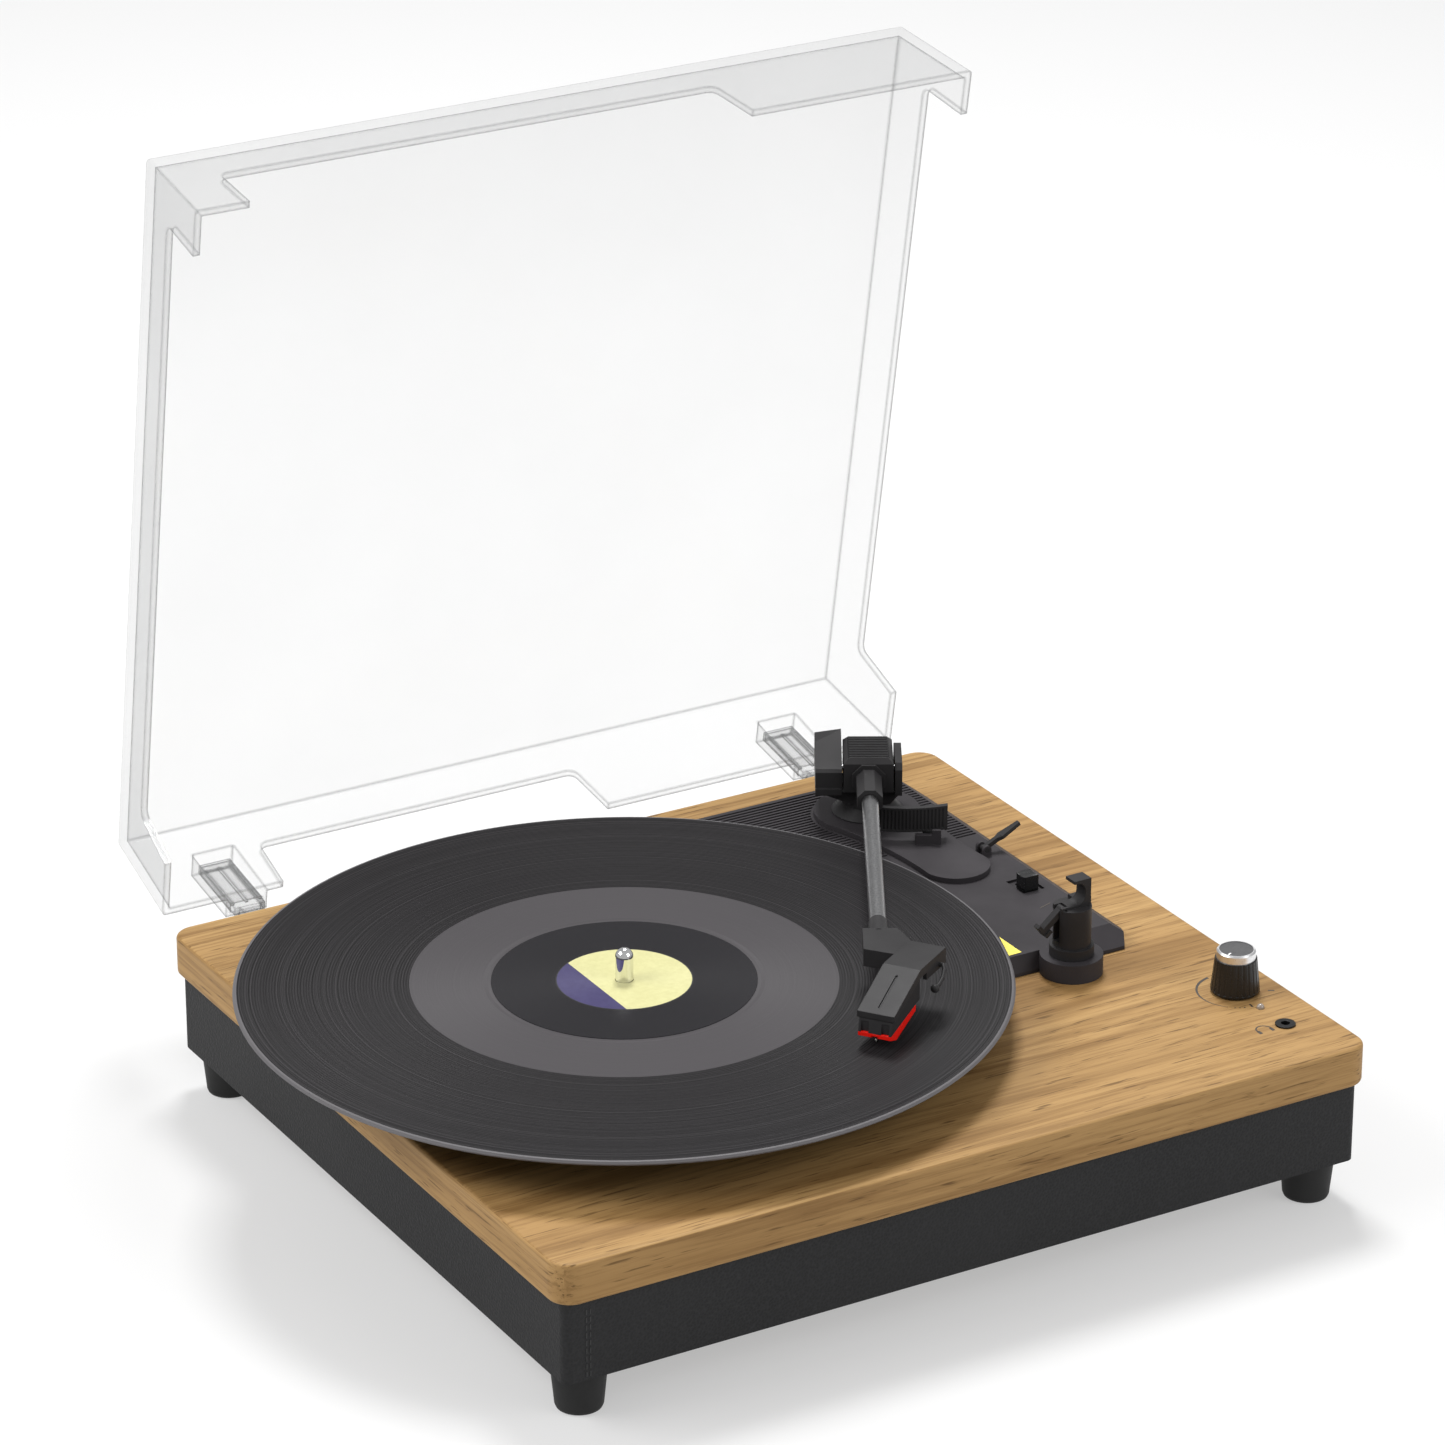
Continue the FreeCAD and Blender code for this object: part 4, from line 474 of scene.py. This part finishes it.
PLATTER_PAINT = plastic_material("platter_paint", (0.018, 0.018, 0.019), (0.03, 0.03, 0.031), (0.35, 0.5))
STEEL = metal_material("plated_steel", (0.42, 0.42, 0.43), (0.58, 0.58, 0.59))
BRASS = metal_material("turned_brass", (0.55, 0.38, 0.14), (0.72, 0.53, 0.24))
CHROME = metal_material("polished_chrome", (0.78, 0.78, 0.79), (0.86, 0.86, 0.87), (0.04, 0.09),
                        (1, 1, 0.1))
CAP = cap_material()
TUBE_METAL = metal_material("arm_tube_metal", (0.19, 0.19, 0.195), (0.33, 0.33, 0.335), (0.25, 0.38),
                            (1, 1, 1), 1200.0)
CANTILEVER = metal_material("cantilever_metal", (0.75, 0.74, 0.70), (0.9, 0.88, 0.84), (0.3, 0.4))
LABEL = label_material()
VINYL = vinyl_material()
YELLOW = paper_material("sticker_yellow", (1.0, 0.86, 0.14), (0.92, 0.78, 0.10))
INK = paper_material("printed_ink", (0.03, 0.022, 0.016), (0.045, 0.032, 0.022))
WHITE_MARK = paper_material("white_mark", (0.85, 0.85, 0.85), (0.78, 0.78, 0.78))
STITCH = paper_material("stitch_thread", (0.016, 0.016, 0.017), (0.011, 0.011, 0.011))
LID = clear_material("clear_acrylic", (0.20, 0.205, 0.208), 0.085, 0.75)
HINGE_CLEAR = clear_material("clear_hinge", (0.12, 0.124, 0.126), 0.10, 0.7)

NODE_MATERIALS = {
    "wood_vinyl": WOOD, "leatherette": LEATHERETTE, "panel_board": PANEL_BOARD,
    "block_wood": BLOCK_WOOD, "foot_rubber": RUBBER, "mat_rubber": MAT, "belt_rubber": BELT,
    "platter_steel": PLATTER_PAINT, "vinyl": VINYL, "label_paper": LABEL,
    "plate_plastic": PLATE_PLASTIC, "arm_plastic": ARM_PLASTIC, "arm_metal": TUBE_METAL,
    "red_plastic": RED, "stylus_metal": CANTILEVER, "steel": STEEL, "chrome": CHROME,
    "brass": BRASS, "knob_plastic": KNOB_PLASTIC, "silver_cap": CAP,
    "socket_plastic": SOCKET_PLASTIC, "lamp": LAMP, "board_green": BOARD_GREEN,
    "cone_paper": CONE_PAPER, "clear_acrylic": LID, "clear_hinge": HINGE_CLEAR,
}


def dress_nodes():
    """Gives each carried-over CAD node the material of its slot."""
    slots = {part["node"]: part["material_slot"] for part in frame["record"]["subparts"]}
    for name, node in frame["nodes"].items():
        node.data.materials.clear()
        node.data.materials.append(NODE_MATERIALS[slots[name]])


dress_nodes()


# --------------------------- printed and stuck-on details --------------------------

def flat_piece(name, outlines, low, high, material, body="root"):
    """Thin upright prisms on flat outlines given in millimetres from the middle of the deck."""
    solid = bmesh.new()
    for outline in outlines:
        lower = [solid.verts.new(at(x, y, low)) for x, y in outline]
        upper = [solid.verts.new(at(x, y, high)) for x, y in outline]
        solid.faces.new(lower[::-1])
        solid.faces.new(upper)
        count = len(outline)
        for i in range(count):
            solid.faces.new((lower[i], lower[(i + 1) % count], upper[(i + 1) % count], upper[i]))
    bmesh.ops.recalc_face_normals(solid, faces=solid.faces)
    mesh = bpy.data.meshes.new(name)
    solid.to_mesh(mesh)
    solid.free()
    piece = bpy.data.objects.new(name, mesh)
    mesh.materials.append(material)
    bpy.context.collection.objects.link(piece)
    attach(piece, body)
    return piece


def arc_outline(x, y, radius, width, start, end, steps=16):
    """A curved band about x, y between two angles in degrees."""
    angles = [math.radians(start + (end - start) * i / steps) for i in range(steps + 1)]
    outer, inner = ([(x + r * math.cos(a), y + r * math.sin(a)) for a in angles]
                    for r in (radius + width / 2, radius - width / 2))
    return outer + inner[::-1]


def tapered_arc(x, y, radius, width, start, end, steps=16):
    """A curved band that swells evenly from nothing to its full width."""
    outer, inner = [], []
    for i in range(steps + 1):
        a = math.radians(start + (end - start) * i / steps)
        half = width * (0.15 + 0.85 * i / steps) / 2
        outer.append((x + (radius + half) * math.cos(a), y + (radius + half) * math.sin(a)))
        inner.append((x + (radius - half) * math.cos(a), y + (radius - half) * math.sin(a)))
    return outer + inner[::-1]


def round_outline(x, y, radius, steps=14):
    """A small filled circle."""
    return [(x + radius * math.cos(2 * math.pi * i / steps), y + radius * math.sin(2 * math.pi * i / steps))
            for i in range(steps)]


knob_place = (KNOB - CENTRE) / MM
KNOB_AT = (knob_place.x, knob_place.y)
jack_place = ((jack_low + jack_high) / 2 - CENTRE) / MM


def make_marks():
    """The volume scale, a headphone sign and the small marks on the tonearm plate."""
    scale = [tapered_arc(*KNOB_AT, 15.0, 1.3, 225, 100)]
    for turn in (236, 243, 250):
        a = math.radians(turn)
        scale.append(round_outline(KNOB_AT[0] + DOT_REACH * math.cos(a),
                                   KNOB_AT[1] + DOT_REACH * math.sin(a), 0.35))
    scale += [arc_outline(*KNOB_AT, 14.2, 2.6, a - 1.6, a + 1.6, 4) for a in (262, 330)]
    flat_piece("volume_scale", scale, PRINT_LOW, PRINT_HIGH, INK)
    x, y = jack_place.x - 9.6, jack_place.y + 0.6
    ear_pads = [[(x + left, y - 2.6), (x + right, y - 2.6), (x + right, y - 0.2), (x + left, y - 0.2)]
                for left, right in ((-3.6, -2.2), (2.2, 3.6))]
    flat_piece("headphone_sign", [arc_outline(x, y, 3.1, 0.6, -10, 190), *ear_pads],
               PRINT_LOW, PRINT_HIGH, INK)
    flat_piece("plate_sticker", [[(96.2, -23.9), (96.4, -39.9), (90.3, -40.2)]],
               PLATE_LOW, PLATE_HIGH, YELLOW)
    flat_piece("plate_mark", [[(124.5, -9.4), (130.6, -7.4), (130.8, -8.0), (124.7, -10.0)]],
               PLATE_LOW, PLATE_HIGH, INK)


def make_seam():
    """The leatherette's stitched joint beside the front left corner."""
    low, high = (shell_low.z / MM + 1.5, shell_high.z / MM - 1.0)
    x = (shell_low.x - CENTRE.x) / MM + SEAM_FROM_CORNER
    y = (shell_low.y - CENTRE.y) / MM
    count = int((high - low) / STITCH_PITCH)
    mesh = bmesh.new()
    for i in range(count):
        z = low + i * STITCH_PITCH
        for side in (0, STITCH_ROWS_APART):
            left, right, top = x + side, x + side + STITCH_WIDTH, z + STITCH_LENGTH
            corners = [(left, z), (right, z), (right, top), (left, top)]
            back = [mesh.verts.new(at(px, y + STITCH_SUNK, pz)) for px, pz in corners]
            face = [mesh.verts.new(at(px, y - STITCH_PROUD, pz)) for px, pz in corners]
            mesh.faces.new(back)
            mesh.faces.new(face[::-1])
            for k in range(4):
                mesh.faces.new((back[k], face[k], face[(k + 1) % 4], back[(k + 1) % 4]))
    bmesh.ops.recalc_face_normals(mesh, faces=mesh.faces)
    data = bpy.data.meshes.new("seam_stitches")
    mesh.to_mesh(data)
    mesh.free()
    data.materials.append(STITCH)
    piece = bpy.data.objects.new("seam_stitches", data)
    bpy.context.collection.objects.link(piece)
    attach(piece, "root")


def make_knob_mark():
    """The pale pointer let into the top of the volume knob."""
    angle = math.radians(POINTER_ANGLE)
    along = (math.cos(angle), math.sin(angle))
    side = (-math.sin(angle), math.cos(angle))
    corners = [(POINTER_INNER, -POINTER_HALF_WIDTH), (POINTER_OUTER, -POINTER_HALF_WIDTH),
               (POINTER_OUTER, POINTER_HALF_WIDTH), (POINTER_INNER, POINTER_HALF_WIDTH)]
    outline = [(KNOB_AT[0] + a * along[0] + b * side[0], KNOB_AT[1] + a * along[1] + b * side[1])
               for a, b in corners]
    top = knob_high.z / MM + CAP_HEIGHT
    flat_piece("knob_pointer", [outline], top - 0.55, top - 0.15, WHITE_MARK, "volume_knob")


make_marks()
make_seam()
make_knob_mark()


# --------------------------- floor and light --------------------------------------

def make_stage():
    """A plain pale floor that glows a little, under an even white sky."""
    floor_mesh = bmesh.new()
    bmesh.ops.create_grid(floor_mesh, x_segments=1, y_segments=1, size=12.0)
    mesh = bpy.data.meshes.new("floor")
    floor_mesh.to_mesh(mesh)
    floor = bpy.data.objects.new("floor", mesh)
    m = Nodes("floor_white")
    m.set(Roughness=0.8)
    m.shader.inputs["Base Color"].default_value = (0.38, 0.38, 0.38, 1)
    m.shader.inputs["Emission Color"].default_value = (1, 1, 1, 1)
    m.shader.inputs["Emission Strength"].default_value = 0.42
    mesh.materials.append(m.material)
    bpy.context.collection.objects.link(floor)
    world = bpy.data.worlds.new("studio")
    world.use_nodes = True
    world.node_tree.nodes["Background"].inputs["Color"].default_value = (1, 1, 1, 1)
    world.node_tree.nodes["Background"].inputs["Strength"].default_value = 0.48
    bpy.context.scene.world = world


def area_light(name, place, target, size, power):
    data = bpy.data.lights.new(name, "AREA")
    data.shape = "RECTANGLE"
    data.size, data.size_y = size
    data.energy = power
    light = bpy.data.objects.new(name, data)
    light.location = place
    light.rotation_euler = (target - place).to_track_quat("-Z", "Y").to_euler()
    bpy.context.collection.objects.link(light)


make_stage()
MIDDLE = at(0, 0, 90)
area_light("key", at(480, 830, 1950), MIDDLE, (0.6, 0.6), 40)
area_light("side", at(-1500, 500, 1500), MIDDLE, (1.4, 1.0), 26)
area_light("fill", at(900, -1500, 1100), MIDDLE, (1.2, 1.2), 12)
bpy.context.scene.view_settings.view_transform = "Standard"
